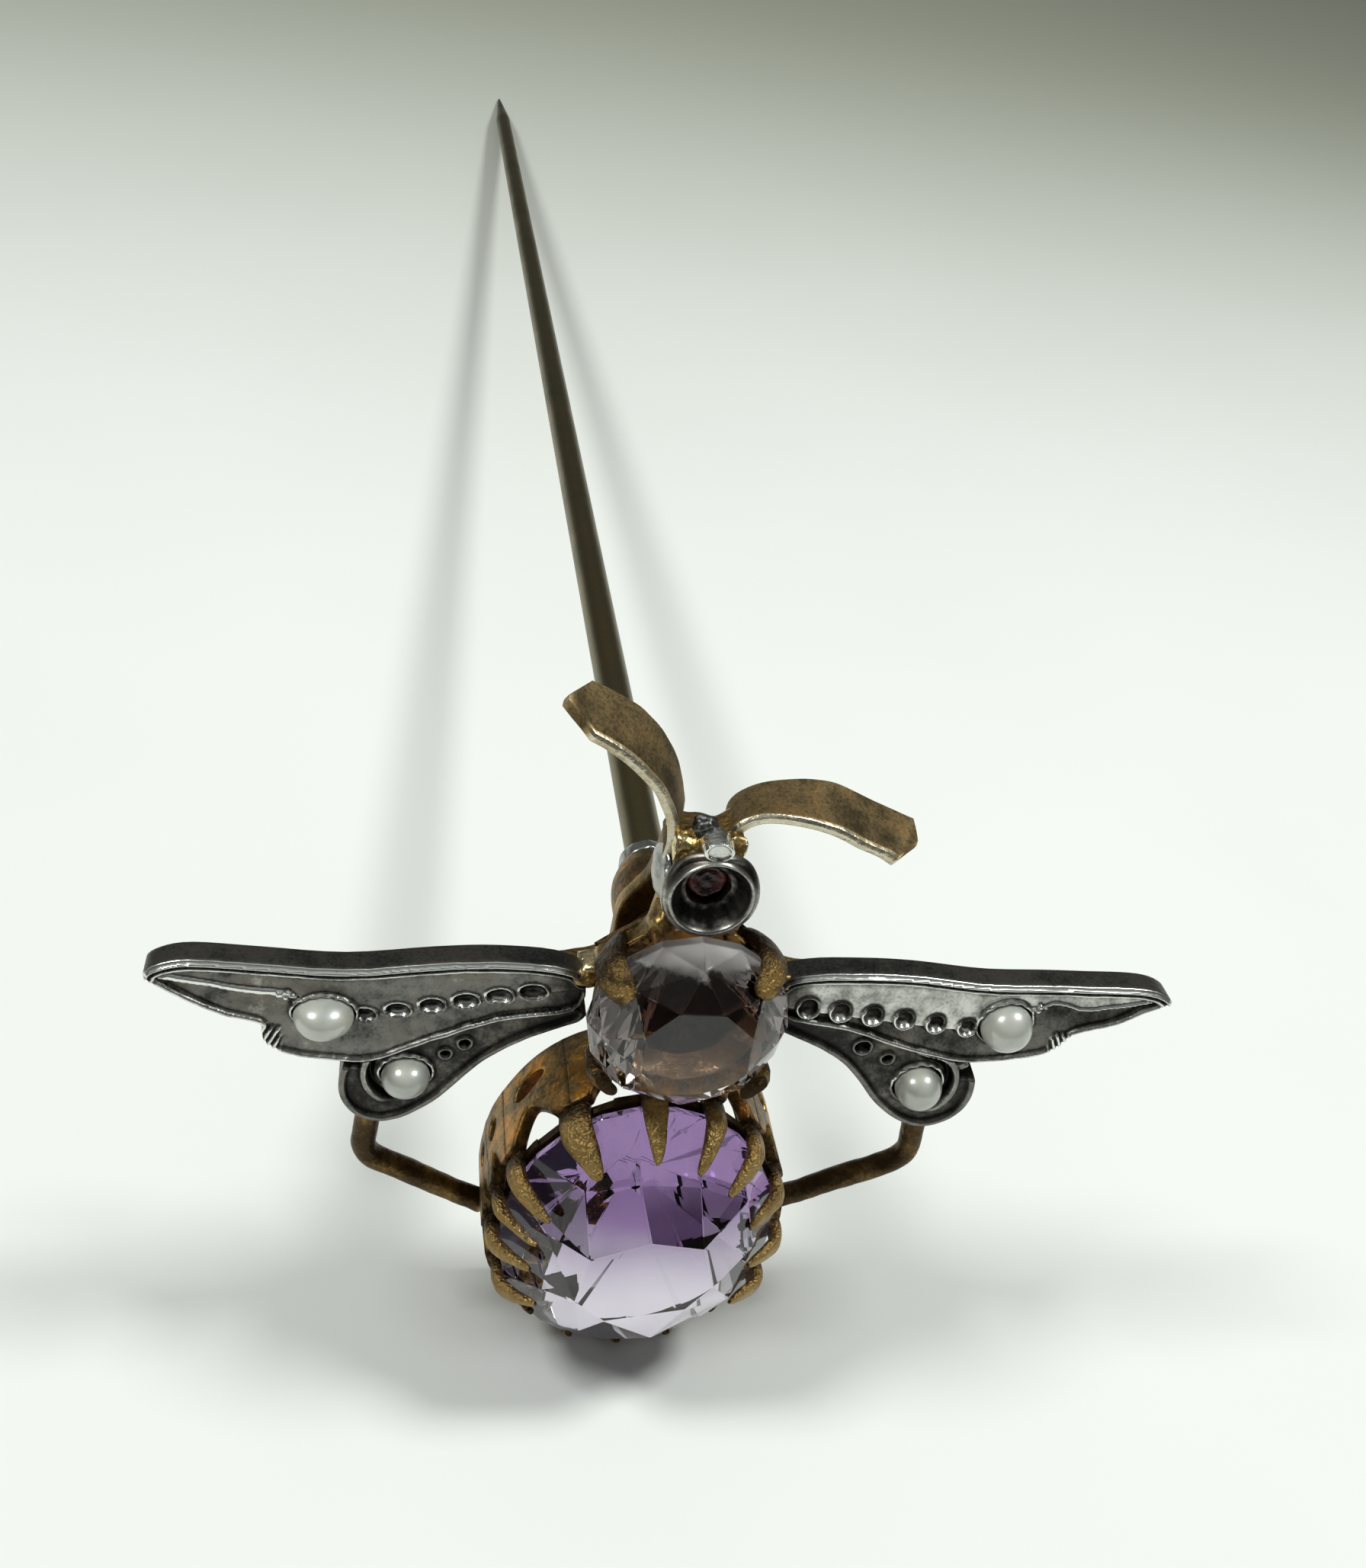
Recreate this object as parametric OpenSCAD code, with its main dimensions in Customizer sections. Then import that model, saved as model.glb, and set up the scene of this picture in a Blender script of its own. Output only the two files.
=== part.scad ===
// Insect hat pin: a wire stem with a soldered bee of silver wings, gilt settings, stones and half pearls.
// +X is the insect's left-to-right line, +Z points to its head, and its face looks along -Y.
// The stem runs straight back along +Y, and the origin is where it leaves its ferrule.

/* [Stem] */
// Diameter of the wire stem
stem_d = 1.4; // [1:0.1:1.8]
// Length of the stem from its ferrule to the point
stem_len = 145; // [110:1:200]
// Length of the ground point
point_len = 12; // [6:1:20]
// Largest diameter of the turned collar behind the thorax
collar_d = 2.9; // [2.6:0.1:3.4]

/* [Wings] */
// Thickness of the wings from front rim to back
wing_t = 1.0; // [0.8:0.05:1.4]
// Depth of the wing field below its raised leading edge
field_depth = 0.2; // [0.1:0.05:0.3]
// Width of the raised leading edge
rim_w = 0.35; // [0.2:0.05:0.6]
// Number of empty cups along each forewing
cup_count = 6; // [3:1:6]
// Outer diameter of a cup
cup_d = 0.72; // [0.5:0.02:0.8]
// Diameter of the pearl on each forewing
fore_pearl_d = 1.68; // [1.4:0.02:1.8]
// Diameter of the pearl on each hindwing
hind_pearl_d = 1.5; // [1.3:0.02:1.6]

/* [Thorax] */
// Diameter of the round thorax stone
thorax_d = 6.0; // [5.6:0.1:6.2]
// Width of each thorax claw
thorax_claw_w = 0.85; // [0.6:0.05:1]

/* [Abdomen] */
// Width of the oval abdomen stone
abdomen_w = 8.8; // [8.2:0.1:9.2]
// Height of the oval abdomen stone
abdomen_h = 10.6; // [10:0.1:11]
// Number of claws round the abdomen
claw_count = 16; // [12:1:18]
// Diameter of the gilt leg wires
leg_d = 0.78; // [0.6:0.02:1]

/* [Head] */
// Outer diameter of the head cup's bead
head_d = 2.82; // [2.6:0.02:3]
// Thickness of the antenna strip
strip_t = 0.33; // [0.25:0.01:0.45]
// Width of the antenna strip, front to back
strip_w = 1.8; // [1.4:0.1:2]

/* [Hidden] */
$fn = 48;

GILT = "#8a6a35";
SILVER = "#6c6c70";
PEARL = "#e8e2d6";
STEEL = "#7b6c4c";

stem_r = stem_d / 2;
tang_r = stem_r - 0.25;
tang_len = 3.2;
point_r = 0.12;
ferrule_len = 0.75;
collar_r = collar_d / 2;

spine_back = -5.5;
spine_front = -6.1;
wing_front = -8.5;
wing_back = wing_front + wing_t;
field_y = wing_front + field_depth;

FORE_RIGHT = [
    [3.0, 1.45], [3.9, 1.85], [5.6, 1.95], [7.3, 1.9], [9.8, 1.68], [12.4, 1.7], [14.2, 1.72],
    [15.2, 1.58], [15.8, 1.22], [15.5, 0.98], [14.95, 0.72], [14.17, 0.26], [12.97, -0.13],
    [12.7, -0.42], [12.45, -0.78], [11.9, -1.1], [10.65, -1.38], [9.35, -1.46], [7.4, -0.95],
    [5.4, -0.25], [3.2, 0.25],
];
FORE_LEFT = [
    [3.0, 1.45], [3.9, 1.9], [5.6, 1.98], [7.4, 1.84], [9.9, 1.54], [12.3, 1.66], [14.15, 1.72],
    [15.05, 1.5], [15.45, 1.12], [15.0, 0.72], [14.19, 0.2], [13.2, -0.27], [12.25, -0.52],
    [12.2, -0.85], [12.05, -1.3], [11.4, -1.68], [10.3, -1.84], [9.0, -1.85], [7.4, -1.1],
    [5.4, -0.25], [3.2, 0.25],
];
HIND_RIGHT = [
    [3.0, 0.2], [5.4, -0.2], [8.0, -1.0], [9.3, -1.4], [10.0, -2.0], [10.15, -2.8], [10.0, -3.5],
    [9.5, -4.05], [8.65, -4.3], [7.8, -4.0], [6.9, -3.25], [6.2, -2.35], [5.5, -1.6], [4.6, -1.0],
    [3.5, -0.45], [2.95, -0.15],
];
HIND_LEFT = [
    [3.0, 0.2], [5.4, -0.2], [8.0, -1.2], [9.2, -1.55], [9.8, -2.1], [9.95, -2.9], [9.8, -3.6],
    [9.35, -4.15], [8.6, -4.35], [7.8, -4.05], [6.9, -3.3], [6.2, -2.4], [5.5, -1.65], [4.6, -1.02],
    [3.5, -0.45], [2.95, -0.15],
];
// Each pair below holds the right side's value and then the left side's.
CUP_FIRST = [[3.97, 0.6], [4.45, 0.92]];
CUP_STEP = [[1.054, -0.126], [0.97, -0.2]];
HIND_CUPS = [[[6.05, -0.98], [6.95, -1.42]], [[6.1, -1.1], [6.85, -1.62]]];
FORE_PEARL = [[10.46, 0.14], [10.44, -0.08]];
HIND_PEARL = [[8.17, -2.46], [7.98, -2.39]];
cup_bore_r = 0.22;
cup_bore_depth = 0.35;
pearl_floor = wing_front + 0.6;
pearl_clear = 0.02;

thorax_z = 1.0;
thorax_r = thorax_d / 2;
girdle_back = -9.4;
girdle_front = -9.7;
collet_front = -8.5;
THORAX_CLAWS = [48, 142, 222, 318];

abdomen_x = -0.4;
abdomen_z = -7.75;
gallery_front = -8.6;
gallery_back = spine_front;
gallery_t = 0.5;
gallery_hole_r = 0.42;
gallery_hole_y = -7.0;
abdomen_girdle_back = -9.5;
abdomen_girdle_front = -9.7;
seat_front = -9.38;
leg_r = leg_d / 2;
leg_y = wing_back + leg_r;
LEG_TOP = [8.9, -3.3];
LEG_KNEE = [9.15, -6.9];
LEG_FOOT = 9.2;

head_z = 5.45;
head_r = head_d / 2;
peg_r = 0.43;
peg_z = 7.07;
saddle_top = peg_z - peg_r;
saddle_front = -8.5;
saddle_back = -7.2;
peg_back = -7.9;
strip_front = saddle_front;
strip_back = strip_front + strip_w;

ANTENNA_LEFT = [
    [-1.12, 5.95], [-1.1, 6.9], [-1.28, 7.8], [-1.62, 8.45], [-2.18, 9.1], [-2.92, 9.7],
    [-3.5, 10.12], [-4.25, 10.85],
];
ANTENNA_RIGHT = [
    [0.92, 5.95], [0.9, 6.75], [1.3, 7.4], [2.25, 7.58], [3.45, 7.43], [4.45, 7.05], [5.3, 6.6],
    [5.85, 6.2],
];

// A point of a Catmull-Rom curve between b and c.
function curve(a, b, c, d, t) =
    0.5 * (2 * b + (c - a) * t + (2 * a - 5 * b + 4 * c - d) * t * t + (3 * b - a - 3 * c + d) * t * t * t);

// A closed smooth outline through the points, with n steps between neighbours.
function smooth_loop(p, n) = let(m = len(p)) [
    for (i = [0 : m - 1]) for (k = [0 : n - 1])
        curve(p[(i + m - 1) % m], p[i], p[(i + 1) % m], p[(i + 2) % m], k / n)
];

// An open smooth line through the points.
function smooth_line(p, n) = let(m = len(p)) concat([
    for (i = [0 : m - 2]) for (k = [0 : n - 1])
        curve(p[max(i - 1, 0)], p[i], p[i + 1], p[min(i + 2, m - 1)], k / n)
], [p[m - 1]]);

function of_side(side, pair) = side > 0 ? pair[0] : pair[1];
function unit(v) = v / norm(v);
function side_of(v) = [-v[1], v[0]];
function along(p, i) = unit(p[min(i + 1, len(p) - 1)] - p[max(i - 1, 0)]);
function beside(p, half) = [for (i = [0 : len(p) - 1]) p[i] + half * side_of(along(p, i))];
function reversed(p) = [for (i = [len(p) - 1 : -1 : 0]) p[i]];
function strip_outline(p, half) = concat(beside(p, half), reversed(beside(p, -half)));
function oval(a, b, n = 48) = [for (i = [0 : n - 1]) [a * cos(360 * i / n), b * sin(360 * i / n)]];

// Extrudes an outline of the X-Z plane between two depths.
module slab(front, back) {
    translate([0, back, 0]) rotate([90, 0, 0]) linear_extrude(back - front) children();
}

// A round bar or cone along Y, centred on at.
module rod(at, r_front, r_back, front, back) {
    translate([at[0], back, at[1]]) rotate([90, 0, 0]) cylinder(r1 = r_back, r2 = r_front, h = back - front);
}

// A solid of revolution about Y, from [radius, y] points.
module turned(points) {
    rotate([90, 0, 0]) rotate_extrude() polygon([for (p = points) [p[0], -p[1]]]);
}

// A straight round wire between two points of the X-Z plane, at depth y.
module wire(a, b, r, y) {
    d = b - a;
    translate([a[0], y, a[1]]) rotate([0, atan2(d[0], d[1]), 0]) cylinder(r = r, h = norm(d));
}

module both_sides(side) {
    mirror([side < 0 ? 1 : 0, 0, 0]) children();
}

// ---- stem ----

module stem() {
    tip_y = stem_len - point_len;
    color(STEEL) union() {
        rod([0, 0], tang_r, tang_r, -tang_len, 0);
        rod([0, 0], stem_r, stem_r, 0, tip_y);
        rod([0, 0], stem_r, point_r, tip_y, stem_len);
    }
}

module stem_ferrule() {
    color(SILVER) turned([
        [tang_r, -ferrule_len], [stem_r + 0.32, -ferrule_len], [stem_r + 0.25, -0.25],
        [stem_r + 0.05, 0], [tang_r, 0],
    ]);
}

module stem_collar() {
    bulb_mid = -2.5;
    bulb_half = 1.9;
    neck_r = 0.9;
    bulb_end = 68;
    color(GILT) turned(concat(
        [[0, -tang_len], [0, spine_back], [neck_r + 0.2, spine_back], [neck_r, spine_back + 0.5]],
        [for (a = [-bulb_end + 16 : 8 : bulb_end]) [collar_r * cos(a), bulb_mid + bulb_half * sin(a)]],
        [[stem_r + 0.3, -ferrule_len], [tang_r, -ferrule_len], [tang_r, -tang_len]]
    ));
}

// ---- body ----

module body_spine() {
    outline = [
        [-0.75, 5.6], [-1.1, 3.6], [-1.9, 2.5], [-2.0, -0.3], [-1.45, -3.1], [0.75, -3.1],
        [2.0, -0.3], [1.9, 2.5], [1.1, 3.6], [0.75, 5.6],
    ];
    color(GILT) slab(spine_front, spine_back) polygon(outline);
}

// A heavy claw: an upright outside the girdle whose end folds in over the stone.
module thorax_claw() {
    profile = [
        [2.45, -7.4], [2.95, -7.7], [3.45, -8.8], [3.5, -9.8], [3.15, -10.3], [2.6, -10.6],
        [2.42, -10.38], [thorax_r + 0.03, girdle_front - 0.04], [thorax_r + 0.03, girdle_back],
        [2.6, collet_front],
    ];
    translate([0, 0, -thorax_claw_w / 2]) linear_extrude(thorax_claw_w) polygon(profile);
}

module thorax_collet() {
    seat_r = 2.05;
    well_r = 1.38;
    well_y = -7.9;
    color(GILT) translate([0, 0, thorax_z]) union() {
        difference() {
            rod([0, 0], 2.75, 2.3, collet_front, spine_front);
            rod([0, 0], seat_r, well_r, collet_front, well_y);
            rod([0, 0], well_r, well_r, well_y, spine_front);
        }
        for (a = THORAX_CLAWS) rotate([0, -a, 0]) thorax_claw();
    }
}

// A cut stone: a girdle, a stepped crown to its table and a pavilion to its culet.
module cut_stone(a, b, y_table, y_break, y_front, y_back, y_culet, table_share, n) {
    thin = 0.02;
    break_share = 0.78;
    culet_share = 0.14;
    hull() {
        slab(y_table, y_table + thin) polygon(oval(a * table_share, b * table_share, n / 2));
        slab(y_break, y_break + thin) polygon(oval(a * break_share, b * break_share, n));
        slab(y_front, y_back) polygon(oval(a, b, n));
        slab(y_culet - thin, y_culet) polygon(oval(a * culet_share, b * culet_share, n / 2));
    }
}

module thorax_stone() {
    color("#cbb8c4") translate([0, 0, thorax_z])
        cut_stone(thorax_r, thorax_r, -11.1, -10.55, girdle_front, girdle_back, -7.05, 0.56, 16);
}

// ---- wings ----

module forewing_field(side) { polygon(smooth_loop(of_side(side, [FORE_RIGHT, FORE_LEFT]), 4)); }
module hindwing_field(side) { polygon(smooth_loop(of_side(side, [HIND_RIGHT, HIND_LEFT]), 4)); }

// A wing plate whose leading edge stands up as a rim.
module rimmed_plate(shift) {
    slab(field_y, wing_back) children();
    slab(wing_front, field_y) difference() {
        children();
        translate(shift) children();
    }
}

module cup_bosses(spots) {
    for (s = spots) rod(s, cup_d / 2, cup_d / 2, wing_front, field_y + 0.1);
}

module cup_bores(spots) {
    for (s = spots) rod(s, cup_bore_r, cup_bore_r, wing_front - 1, wing_front + cup_bore_depth);
}

module pearl_pocket(spot, d) {
    rod(spot, d / 2 + pearl_clear, d / 2 + pearl_clear, wing_front - 1, pearl_floor);
}

module forewing(side) {
    spots = [for (i = [0 : cup_count - 1]) of_side(side, CUP_FIRST) + i * of_side(side, CUP_STEP)];
    color(SILVER) both_sides(side) difference() {
        union() {
            rimmed_plate([0, -rim_w]) forewing_field(side);
            cup_bosses(spots);
        }
        cup_bores(spots);
        pearl_pocket(of_side(side, FORE_PEARL), fore_pearl_d);
    }
}

module hindwing(side) {
    color(SILVER) both_sides(side) difference() {
        union() {
            rimmed_plate([-rim_w, rim_w]) difference() {
                hindwing_field(side);
                forewing_field(side);
            }
            cup_bosses(of_side(side, HIND_CUPS));
        }
        cup_bores(of_side(side, HIND_CUPS));
        pearl_pocket(of_side(side, HIND_PEARL), hind_pearl_d);
        slab(wing_front - 1, wing_back + 1) forewing_field(side);
    }
}

// A half pearl: a ball cut flat where it is cemented to the pocket's floor.
module half_pearl(side, spot, d) {
    color(PEARL) both_sides(side) difference() {
        translate([spot[0], wing_front, spot[1]]) sphere(d / 2);
        rod(spot, d, d, pearl_floor, pearl_floor + d);
    }
}

// The gilt bar that joins a wing root to the thorax collet.
module wing_stub(side) {
    color(GILT) both_sides(side) difference() {
        union() {
            slab(wing_back, wing_back + 0.6) polygon([[1.6, 0.5], [4.6, 0.9], [4.6, 1.35], [2.4, 1.6], [1.6, 2.1]]);
            slab(wing_front + 0.2, wing_back) polygon([[2.3, 0.6], [2.92, 0.7], [2.92, 1.9], [2.3, 2.2]]);
        }
        translate([0, 0, thorax_z]) rod([0, 0], 2.75, 2.3, collet_front, spine_front);
        translate([0, 0, thorax_z]) for (a = THORAX_CLAWS) rotate([0, -a, 0]) thorax_claw();
        slab(wing_front - 1, wing_back) forewing_field(side);
    }
}

// ---- head ----

// The cup's outer form, without its hollow.
module head_form() {
    translate([0, 0, head_z]) turned([
        [0, spine_front], [0, -9.65], [head_r - 0.2, -9.65], [head_r, -9.48], [head_r, -9.3],
        [1.05, -8.0], [0.9, -7.2], [0.5, spine_front],
    ]);
}

module head_cup() {
    color(SILVER) difference() {
        head_form();
        rod([0, head_z], 1.16, 0.78, -9.66, -9.05);
        rod([0, head_z], 0.62, 0.62, -9.2, -8.4);
    }
}

module head_cement() {
    color("#4a1f16") rod([0, head_z], 0.62, 0.62, -8.75, -8.4);
}

module head_peg() {
    color(SILVER) rod([0, peg_z], peg_r, peg_r, -9.55, peg_back);
}

module head_saddle() {
    color(GILT) difference() {
        slab(saddle_front, saddle_back) polygon([
            [-0.94, 5.9], [-0.94, 7.0], [-0.7, saddle_top], [0.5, saddle_top], [0.74, 7.0], [0.74, 5.9],
        ]);
        head_form();
        rod([0, peg_z], peg_r, peg_r, -10, peg_back);
    }
}

module antenna(points) {
    color(GILT) slab(strip_front, strip_back) polygon(strip_outline(smooth_line(points, 4), strip_t / 2));
}

// ---- abdomen ----

module at_abdomen() { translate([abdomen_x, 0, abdomen_z]) children(); }

module abdomen_wall_form() {
    at_abdomen() slab(gallery_front, gallery_back) polygon(oval(abdomen_w / 2 + gallery_t, abdomen_h / 2 + gallery_t));
}

// A pointed claw: a tapering upright and a tip that folds over the stone's crown.
module abdomen_claw(angle) {
    a = abdomen_w / 2;
    b = abdomen_h / 2;
    out = atan2(a * sin(angle), b * cos(angle));
    foot_w = 1.1;
    bend_w = 0.8;
    tip_w = 0.3;
    upright = [
        [-foot_w / 2, gallery_front + 0.3], [foot_w / 2, gallery_front + 0.3],
        [bend_w / 2, abdomen_girdle_front], [-bend_w / 2, abdomen_girdle_front],
    ];
    hook = [
        [0.03, abdomen_girdle_front], [0.5, abdomen_girdle_front], [0.35, -10.15], [-0.7, -11.0],
        [-0.8, -10.74],
    ];
    translate([a * cos(angle), 0, b * sin(angle)]) rotate([0, -out, 0]) {
        translate([0.03, 0, 0]) rotate([0, 90, 0]) linear_extrude(gallery_t - 0.03) polygon(upright);
        intersection() {
            translate([0, 0, -bend_w / 2]) linear_extrude(bend_w) polygon(hook);
            rotate([90, 0, 0]) translate([0, 0, 9]) linear_extrude(3)
                polygon([[0.6, -bend_w / 2], [0.6, bend_w / 2], [-0.85, tip_w / 2], [-0.85, -tip_w / 2]]);
        }
    }
}

module abdomen_gallery() {
    step = 360 / claw_count;
    color(GILT) difference() {
        union() {
            difference() {
                abdomen_wall_form();
                at_abdomen() slab(gallery_front - 1, gallery_back + 1) polygon(oval(abdomen_w / 2, abdomen_h / 2));
            }
            abdomen_claws();
        }
        at_abdomen() for (i = [0 : claw_count - 1])
            translate([0, gallery_hole_y, 0]) rotate([0, (i + 0.5) * step, 0]) cylinder(r = gallery_hole_r, h = 8);
    }
}

// An oval ring inside the gallery wall.
module inner_ring(front, back, grow, width) {
    at_abdomen() slab(front, back) difference() {
        polygon(oval(abdomen_w / 2 + grow, abdomen_h / 2 + grow));
        polygon(oval(abdomen_w / 2 + grow - width, abdomen_h / 2 + grow - width));
    }
}

module abdomen_claws() {
    step = 360 / claw_count;
    at_abdomen() for (i = [0 : claw_count - 1]) abdomen_claw(90 + i * step);
}

module abdomen_seat() {
    color(GILT) difference() {
        inner_ring(seat_front, seat_front + 0.28, 0.12, 0.3);
        abdomen_claws();
    }
}

module abdomen_base_ring() {
    color(GILT) inner_ring(gallery_back - 0.4, gallery_back, 0, 0.6);
}

module abdomen_stone() {
    color("#8a63a8") at_abdomen()
        cut_stone(abdomen_w / 2, abdomen_h / 2, -12.2, -10.95, abdomen_girdle_front, abdomen_girdle_back,
            -6.7, 0.48, 16);
}

module leg_wire(side) {
    foot = [abdomen_x * side, -LEG_FOOT];
    color(GILT) both_sides(side) difference() {
        union() {
            wire(LEG_TOP, LEG_KNEE, leg_r, leg_y);
            translate([LEG_KNEE[0], leg_y, LEG_KNEE[1]]) sphere(leg_r);
            wire(LEG_KNEE, [abdomen_w / 2 + foot[0], foot[1]], leg_r, leg_y);
        }
        mirror([side < 0 ? 1 : 0, 0, 0]) abdomen_wall_form();
    }
}

stem();
stem_ferrule();
stem_collar();
body_spine();
thorax_collet();
thorax_stone();
wing_stub(-1);  // wing_stub_left
wing_stub(1);  // wing_stub_right
forewing(-1);  // forewing_left
forewing(1);  // forewing_right
hindwing(-1);  // hindwing_left
hindwing(1);  // hindwing_right
half_pearl(-1, of_side(-1, FORE_PEARL), fore_pearl_d);  // forewing_pearl_left
half_pearl(1, of_side(1, FORE_PEARL), fore_pearl_d);  // forewing_pearl_right
half_pearl(-1, of_side(-1, HIND_PEARL), hind_pearl_d);  // hindwing_pearl_left
half_pearl(1, of_side(1, HIND_PEARL), hind_pearl_d);  // hindwing_pearl_right
head_cup();
head_cement();
head_peg();
head_saddle();
antenna(ANTENNA_LEFT);  // antenna_left
antenna(ANTENNA_RIGHT);  // antenna_right
abdomen_gallery();
abdomen_seat();
abdomen_base_ring();
abdomen_stone();
leg_wire(-1);  // leg_wire_left
leg_wire(1);  // leg_wire_right
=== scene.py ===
"""Looks of a hat pin: a wire stem that carries a soldered insect of silver, gilt metal, stones and pearls.

Sizes inside the classes are millimetres in the row's frame: +X along the wings, +Z to the insect's head and
+Y along the stem to its point. Meshes are turned into metres when a piece is made.
"""

import logging
import math
from abc import ABC, abstractmethod
from dataclasses import dataclass, field
from enum import Enum
from typing import Callable, Sequence

import bmesh
import bpy
import numpy as np
from mathutils import Matrix, Vector
from mathutils.geometry import delaunay_2d_cdt

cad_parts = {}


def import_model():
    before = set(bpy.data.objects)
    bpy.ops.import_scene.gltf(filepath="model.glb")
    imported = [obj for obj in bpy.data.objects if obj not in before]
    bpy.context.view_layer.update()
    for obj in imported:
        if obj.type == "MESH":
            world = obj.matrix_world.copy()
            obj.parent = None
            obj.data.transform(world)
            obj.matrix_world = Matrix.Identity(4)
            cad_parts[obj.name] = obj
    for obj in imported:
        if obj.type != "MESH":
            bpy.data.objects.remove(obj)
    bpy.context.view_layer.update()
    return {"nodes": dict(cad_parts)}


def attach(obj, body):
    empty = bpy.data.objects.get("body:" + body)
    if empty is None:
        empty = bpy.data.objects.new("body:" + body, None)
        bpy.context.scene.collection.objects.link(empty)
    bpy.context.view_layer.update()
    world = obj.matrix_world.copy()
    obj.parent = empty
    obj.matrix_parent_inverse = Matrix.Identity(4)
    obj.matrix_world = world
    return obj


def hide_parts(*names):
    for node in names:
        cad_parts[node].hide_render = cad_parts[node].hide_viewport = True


LOG = logging.getLogger("hat_pin")
MM = 0.001
BACK_POLISH = 0.25
EDGE_POLISH = 0.3
STEPS_ON_WING = 4
Array = np.ndarray
Socket = bpy.types.NodeSocket
Thing = bpy.types.Object
Colour = tuple[float, float, float]
Shell = tuple[Array, list]
Front = tuple[Array, Array]


class Slot(Enum):
    """The record's material slots."""

    STEM = "stem_wire"
    SOLDER = "solder_silver"
    GILT = "gilt"
    SILVER = "oxidised_silver"
    PEARL = "pearl"
    PALE = "pale_quartz"
    AMETHYST = "amethyst"
    CEMENT = "cement"


class Side(Enum):
    """The two sides of the insect, as the sign of X."""

    LEFT = -1
    RIGHT = 1

    @property
    def word(self) -> str:
        """The side's name in a piece's name."""
        return self.name.lower()


# ---- sums on points ----


@dataclass(frozen=True)
class Ripple:
    """Smooth seeded noise made of crossing waves, about -1 to 1.

    Attributes:
        seed: Which noise it is.
        wave: Mean wavelength in millimetres.
        count: Number of waves that cross.
    """

    seed: int
    wave: float
    count: int = 16

    def at(self, points: Array) -> Array:
        """Reads the noise.

        Args:
            points: Points in rows, with two or three columns.

        Returns:
            One value for each point.
        """
        rng = np.random.default_rng(self.seed)
        ways = rng.normal(size=(self.count, points.shape[1]))
        ways /= np.linalg.norm(ways, axis=1)[:, None]
        ways *= 2 * math.pi / (self.wave * rng.uniform(0.6, 1.7, self.count))[:, None]
        phases = rng.uniform(0, 2 * math.pi, self.count)
        return np.sin(points @ ways.T + phases).sum(1) / math.sqrt(2 * self.count)


def rise(value: Array, low: float, high: float) -> Array:
    """Rises smoothly from 0 at low to 1 at high.

    Args:
        value: What is compared.
        low: Where the rise starts.
        high: Where it ends, which may be below low for a fall.

    Returns:
        The shares, from 0 to 1.
    """
    t = np.clip((value - low) / (high - low), 0, 1)
    return t * t * (3 - 2 * t)


def catmull(points: Sequence, steps: int, closed: bool) -> Array:
    """Draws a Catmull-Rom curve through points.

    Args:
        points: The points, of any dimension.
        steps: Pieces between neighbours.
        closed: Whether the curve comes back to its first point.

    Returns:
        The curve's points in rows.
    """
    p = np.array(points, float)
    n = len(p)
    spans = n if closed else n - 1
    rows = []
    for i in range(spans):
        pick = [(i + k) % n if closed else min(max(i + k, 0), n - 1) for k in (-1, 0, 1, 2)]
        a, b, c, d = p[pick]
        for t in np.arange(steps) / steps:
            rows.append(0.5 * (2 * b + (c - a) * t + (2 * a - 5 * b + 4 * c - d) * t * t
                               + (3 * b - a - 3 * c + d) * t ** 3))
    if not closed:
        rows.append(p[-1])
    return np.array(rows)


def resample(loop: Array, step: float) -> Array:
    """Spaces a closed outline's points evenly.

    Args:
        loop: The outline.
        step: The wanted spacing.

    Returns:
        The outline with even spacing.
    """
    ring = np.vstack([loop, loop[:1]])
    run = np.concatenate([[0], np.cumsum(np.linalg.norm(np.diff(ring, axis=0), axis=1))])
    count = max(8, int(round(run[-1] / step)))
    at = np.linspace(0, run[-1], count, endpoint=False)
    return np.stack([np.interp(at, run, ring[:, k]) for k in range(ring.shape[1])], axis=1)


def distance_to(points: Array, line: Array, closed: bool = False) -> Array:
    """Measures how far points are from a line of straight pieces.

    Args:
        points: Points in rows, in the plane.
        line: The line's corners.
        closed: Whether it comes back to its first corner.

    Returns:
        The shortest distances.
    """
    ends = np.vstack([line, line[:1]]) if closed else line
    best = np.full(len(points), np.inf)
    for a, b in zip(ends[:-1], ends[1:]):
        ab = b - a
        t = np.clip((points - a) @ ab / max(float(ab @ ab), 1e-12), 0, 1)
        gap = points - a - t[:, None] * ab
        best = np.minimum(best, np.einsum("ij,ij->i", gap, gap))
    return np.sqrt(best)


def inside(points: Array, loop: Array) -> Array:
    """Tells which points lie in a closed outline.

    Args:
        points: Points in rows, in the plane.
        loop: The outline.

    Returns:
        True for each point inside.
    """
    x, z = points[:, 0], points[:, 1]
    odd = np.zeros(len(points), bool)
    for (x0, z0), (x1, z1) in zip(loop, np.roll(loop, -1, axis=0)):
        if z0 == z1:
            continue
        crosses = (z0 > z) != (z1 > z)
        odd ^= crosses & (x < (x1 - x0) * (z - z0) / (z1 - z0) + x0)
    return odd


def inset(loop: Array, depth: float) -> Array:
    """Moves a counter-clockwise outline inwards, or a clockwise hole outwards.

    Args:
        loop: The outline.
        depth: How far it moves.

    Returns:
        The moved outline, with as many points.
    """
    way = np.roll(loop, -1, axis=0) - np.roll(loop, 1, axis=0)
    way /= np.maximum(np.linalg.norm(way, axis=1), 1e-9)[:, None]
    return loop + depth * np.stack([-way[:, 1], way[:, 0]], axis=1)


def pull(values: Array, share: Array, target: Array | float) -> None:
    """Moves values towards a target in place, each by its share of the gap."""
    values += share * (target - values)


def shaken(verts: Array, amount: float, seed: int, wave: float) -> Array:
    """The points, moved along each axis by noise of its own."""
    return verts + amount * np.stack([Ripple(seed + c, wave).at(verts) for c in range(3)], 1)


def counter_clockwise(loop: Array) -> Array:
    """The same outline, turned so that it runs counter-clockwise."""
    area = np.sum(loop[:, 0] * np.roll(loop[:, 1], -1) - np.roll(loop[:, 0], -1) * loop[:, 1])
    return loop if area > 0 else loop[::-1]


# ---- shells ----


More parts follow.
